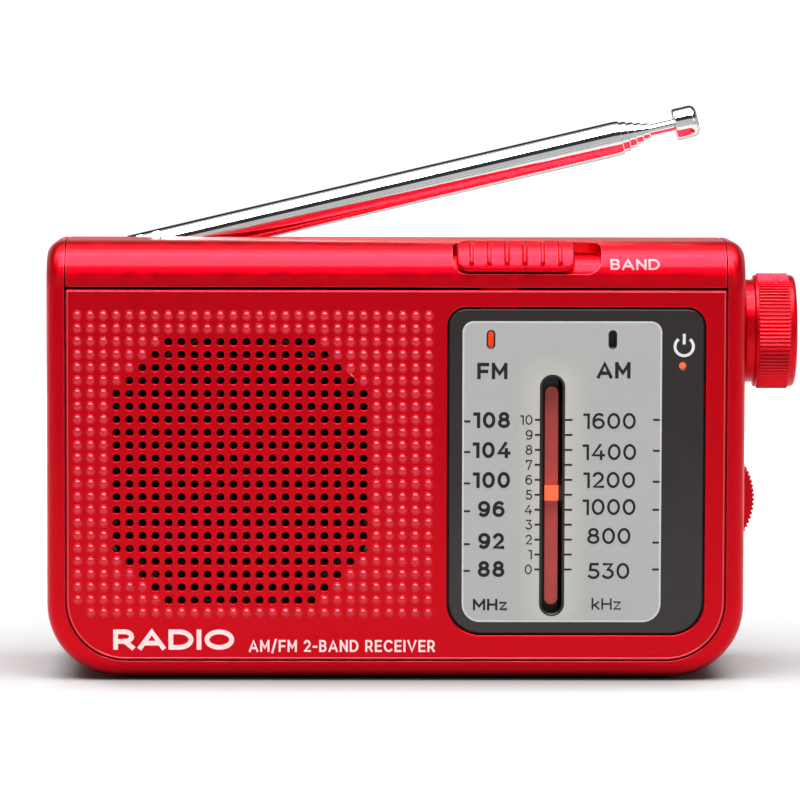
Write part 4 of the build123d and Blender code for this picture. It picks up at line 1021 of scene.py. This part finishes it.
# lengths along the antenna are from its fold pin
PIVOT = (-50.3, 11.0, 69.63)
REST_ANGLE = 13.34
ANTENNA_AXIS = (cos(radians(REST_ANGLE)), 0.0, sin(radians(REST_ANGLE)))
TUBE_RADII = (3.0, 2.6, 2.2, 1.8, 1.4)
TUBE_WALL = 0.3
TUBE_START = 4.8
TUBE_END = 92.0
INNER_START = 13.0  # where the inner tubes start, each one STEP_IN further along
STEP_IN = 0.3
STEP_OUT = 1.25  # how far each section ends past the one round it
TUBE_SLIP = 0.05  # between a tube's lip and the section inside it
TUBE_ROLL = 0.2  # the radius of a tube's rolled end
ROD_R = 1.02
TIP_FACES = (101.35, 105.5)
TIP_R = 2.75
TIP_EDGE_R = (0.4, 1.2)  # the radii of its inner and outer edges
DIMPLES = (6.9, 9.9)  # where the outer tube is crimped onto its plug
DIMPLE_HALF = (0.8, 1.0)  # half the length and half the width of a crimp
DIMPLE_DEPTH = 0.22
DIMPLE_STEP = 0.12  # the spacing of the mesh's rings along the crimped part,
CRIMPED_END = 14.0  # which ends here


def tube_profile(start, end, r, bore, is_outer):
    """The closed outline of a thin tube whose end turns in to the next section with a rolled lip."""
    inner = r - TUBE_WALL
    taper = 1.1 if is_outer else 0.35
    profile = [(start, inner), (start, r - 0.08), (start + 0.08, r)]
    if is_outer:
        steps = ceil((CRIMPED_END - start) / DIMPLE_STEP)
        profile += [(start + 0.1 + DIMPLE_STEP * i, r) for i in range(steps)]
    profile += [(end - taper, r), (end - taper * 0.5, r - 0.04), (end - TUBE_ROLL, r - 0.1)]
    profile += arc(end - TUBE_ROLL, r - 0.1 - TUBE_ROLL, TUBE_ROLL, 80, 0, 4)
    profile += [(end, bore + 0.05), (end - 0.06, bore), (end - 0.5, bore), (end - 0.5, inner)]
    return profile


def crimped(along, r, turn):
    """The outer tube's radius, pushed in where it is crimped, on two opposite sides."""
    if r < TUBE_RADII[0] - 0.01:
        return r
    for at in DIMPLES:
        for side in (0.5 * pi, 1.5 * pi):
            off = hypot((along - at) / DIMPLE_HALF[0], (turn - side) * r / DIMPLE_HALF[1])
            if off < 1.0:
                return r - DIMPLE_DEPTH * (1 - off**2) ** 0.5
    return r


def make_antenna_tubes():
    bodies = ["antenna_base"] + [f"antenna_section_{i}" for i in range(2, 6)]
    bores = [r + TUBE_SLIP for r in TUBE_RADII[1:] + (ROD_R,)]
    for i, (body, r, bore) in enumerate(zip(bodies, TUBE_RADII, bores)):
        is_outer = i == 0
        start = TUBE_START if is_outer else INNER_START + STEP_IN * i
        profile = tube_profile(start, TUBE_END + STEP_OUT * i, r, bore, is_outer)
        tube = lathe(f"antenna_sleeve_{i + 1}", profile, PIVOT, ANTENNA_AXIS, 96,
                     radius_at=crimped if is_outer else None, closed=True)
        place(tube, body, "chrome", "chrome", [f"antenna_tube_{i + 1}"])


def make_antenna_tip():
    """A short cylinder with softened edges, sunk where the rod enters it."""
    inner, outer = TIP_FACES
    inner_r, outer_r = TIP_EDGE_R
    profile = [(inner + 0.35, ROD_R), (inner + 0.35, 1.5), (inner + 0.05, 1.6), (inner, 1.7)]
    profile += arc(inner + inner_r, TIP_R - inner_r, inner_r, 180, 90, 6)
    profile += arc(outer - outer_r, TIP_R - outer_r, outer_r, 90, 0, 12)
    profile += [(outer, 0.05)]
    tip = lathe("antenna_knob", profile, PIVOT, ANTENNA_AXIS, 96)
    place(tip, "antenna_rod", "chrome", "chrome", ["antenna_tip"])


# -------------------------------- stage, lights and camera

FLOOR = (-1500.0, 1500.0, -1200.0, 550.0)  # x0, x1, y0, y1 in millimetres


def even_grey(level):
    return (level, level, level, 1.0)


def floor_paint():
    """Plain pale grey, with painted light and shade: a painted pool of light behind the radio, a painted
    contact shadow close under it, and painted shade far in front.
    """
    paint = Paint("floor", Roughness=0.9, Specular_IOR_Level=0.1)
    pale = paint.blend(paint.noise(300.0), (0.33, 0.33, 0.333, 1.0), even_grey(0.34))
    # a painted pool of light on the floor behind the radio
    behind = paint.falloff("Y", 600.0, 250.0, 480.0)
    # painted shade on the floor far in front
    not_far = paint.falloff("Y", 400.0, 560.0, 760.0)
    # a painted contact shadow close under the radio
    under = paint.math("MULTIPLY", paint.falloff("X", 0.0, 46.0, 60.0), paint.falloff("Y", 0.0, 17.0, 32.0))
    tone = paint.blend(behind, pale, even_grey(0.6))
    tone = paint.blend(not_far, even_grey(0.2), tone)
    paint.colour(paint.blend(under, tone, even_grey(0.19)))
    return paint.material


def make_stage():
    x0, x1, y0, y1 = FLOOR
    corners = [(x0, y0, 0.0), (x1, y0, 0.0), (x1, y1, 0.0), (x0, y1, 0.0)]
    floor = add_mesh("studio_floor", corners, [(0, 1, 2, 3)])
    floor.data.materials.append(floor_paint())


# the room's brightness by the sine of the height above the horizon
SKY = ((-0.2, 1.8), (-0.02, 1.8), (0.0, 0.1), (0.015, 0.1), (0.04, 0.9),
       (0.38, 0.9), (0.42, 0.05), (0.76, 0.05), (0.82, 0.9), (1.0, 0.9))
SKY_STRENGTH = 0.62


def make_world():
    """A studio room: white below, dim at the horizon, pale walls, and a dark gap under a pale ceiling."""
    world = bpy.data.worlds.new("studio")
    world.use_nodes = True
    nodes, links = world.node_tree.nodes, world.node_tree.links
    direction = nodes.new("ShaderNodeTexCoord")
    parts = nodes.new("ShaderNodeSeparateXYZ")
    share = nodes.new("ShaderNodeMapRange")
    ramp = nodes.new("ShaderNodeValToRGB")
    background = nodes["Background"]
    low, high = SKY[0][0], SKY[-1][0]
    share.inputs["From Min"].default_value = low
    share.inputs["From Max"].default_value = high
    stops = ramp.color_ramp.elements
    for i, (z, level) in enumerate(SKY):
        at = (z - low) / (high - low)
        stop = stops[0] if i == 0 else stops.new(at)
        stop.position = at
        stop.color = even_grey(level)
    stops.remove(stops[-1])  # a new ramp already has a stop at its end
    background.inputs["Strength"].default_value = SKY_STRENGTH
    links.new(direction.outputs["Generated"], parts.inputs["Vector"])
    links.new(parts.outputs["Z"], share.inputs["Value"])
    links.new(share.outputs["Result"], ramp.inputs["Fac"])
    links.new(ramp.outputs["Color"], background.inputs["Color"])
    bpy.context.scene.world = world


def area_light(name, at, look_at, size, power):
    """A rectangular softbox. Metres and watts."""
    light = bpy.data.lights.new(name, "AREA")
    light.shape = "RECTANGLE"
    light.size, light.size_y = size
    light.energy = power
    obj = bpy.data.objects.new(name, light)
    obj.location = at
    obj.rotation_euler = (Vector(look_at) - Vector(at)).to_track_quat("-Z", "Y").to_euler()
    bpy.context.scene.collection.objects.link(obj)


def make_lights():
    area_light("top_softbox", at=(0.0, -0.28, 0.9), look_at=(0, 0, 0), size=(1.1, 0.6), power=23.0)
    area_light("front_left", at=(-0.7, -0.9, 0.5), look_at=(0, 0, 0.03), size=(0.7, 0.45), power=0.4)
    area_light("front_right", at=(0.8, -0.75, 0.5), look_at=(0, 0, 0.03), size=(0.6, 0.45), power=0.5)
    area_light("backdrop", at=(0.0, 0.1, 0.9), look_at=(0, 0.5, 0.3), size=(1.6, 0.4), power=14.0)


def make_camera():
    """The photo's camera, turned by its pan, then its tilt, then its roll."""
    pan, tilt, roll = radians(CAMERA_PAN), radians(CAMERA_TILT), radians(CAMERA_ROLL)
    forward = Vector((sin(pan) * cos(tilt), cos(pan) * cos(tilt), -sin(tilt)))
    level = Vector((cos(pan), -sin(pan), 0.0))
    upright = level.cross(forward)
    right = level * cos(roll) + upright * sin(roll)
    up = upright * cos(roll) - level * sin(roll)
    data = bpy.data.cameras.new("camera")
    data.lens = CAMERA_LENS
    data.sensor_width = CAMERA_SENSOR
    data.clip_start = 0.01
    camera = bpy.data.objects.new("camera", data)
    turn = Matrix((right, up, -forward)).transposed().to_4x4()
    camera.matrix_world = Matrix.Translation(CAMERA_AT) @ turn
    bpy.context.scene.collection.objects.link(camera)
    bpy.context.scene.camera = camera


paint_cad_nodes()
make_front_panel()
make_panel_words()
make_band_word()
make_lens_plate()
make_scale_field()
make_light_bar()
make_scale_print()
make_power_icon()
make_band_knob()
make_window_card()
make_tuning_knob()
make_volume_wheel()
make_antenna_tubes()
make_antenna_tip()
make_stage()
make_world()
make_lights()
make_camera()
bpy.context.scene.view_settings.view_transform = "Standard"

bpy.context.view_layer.update()
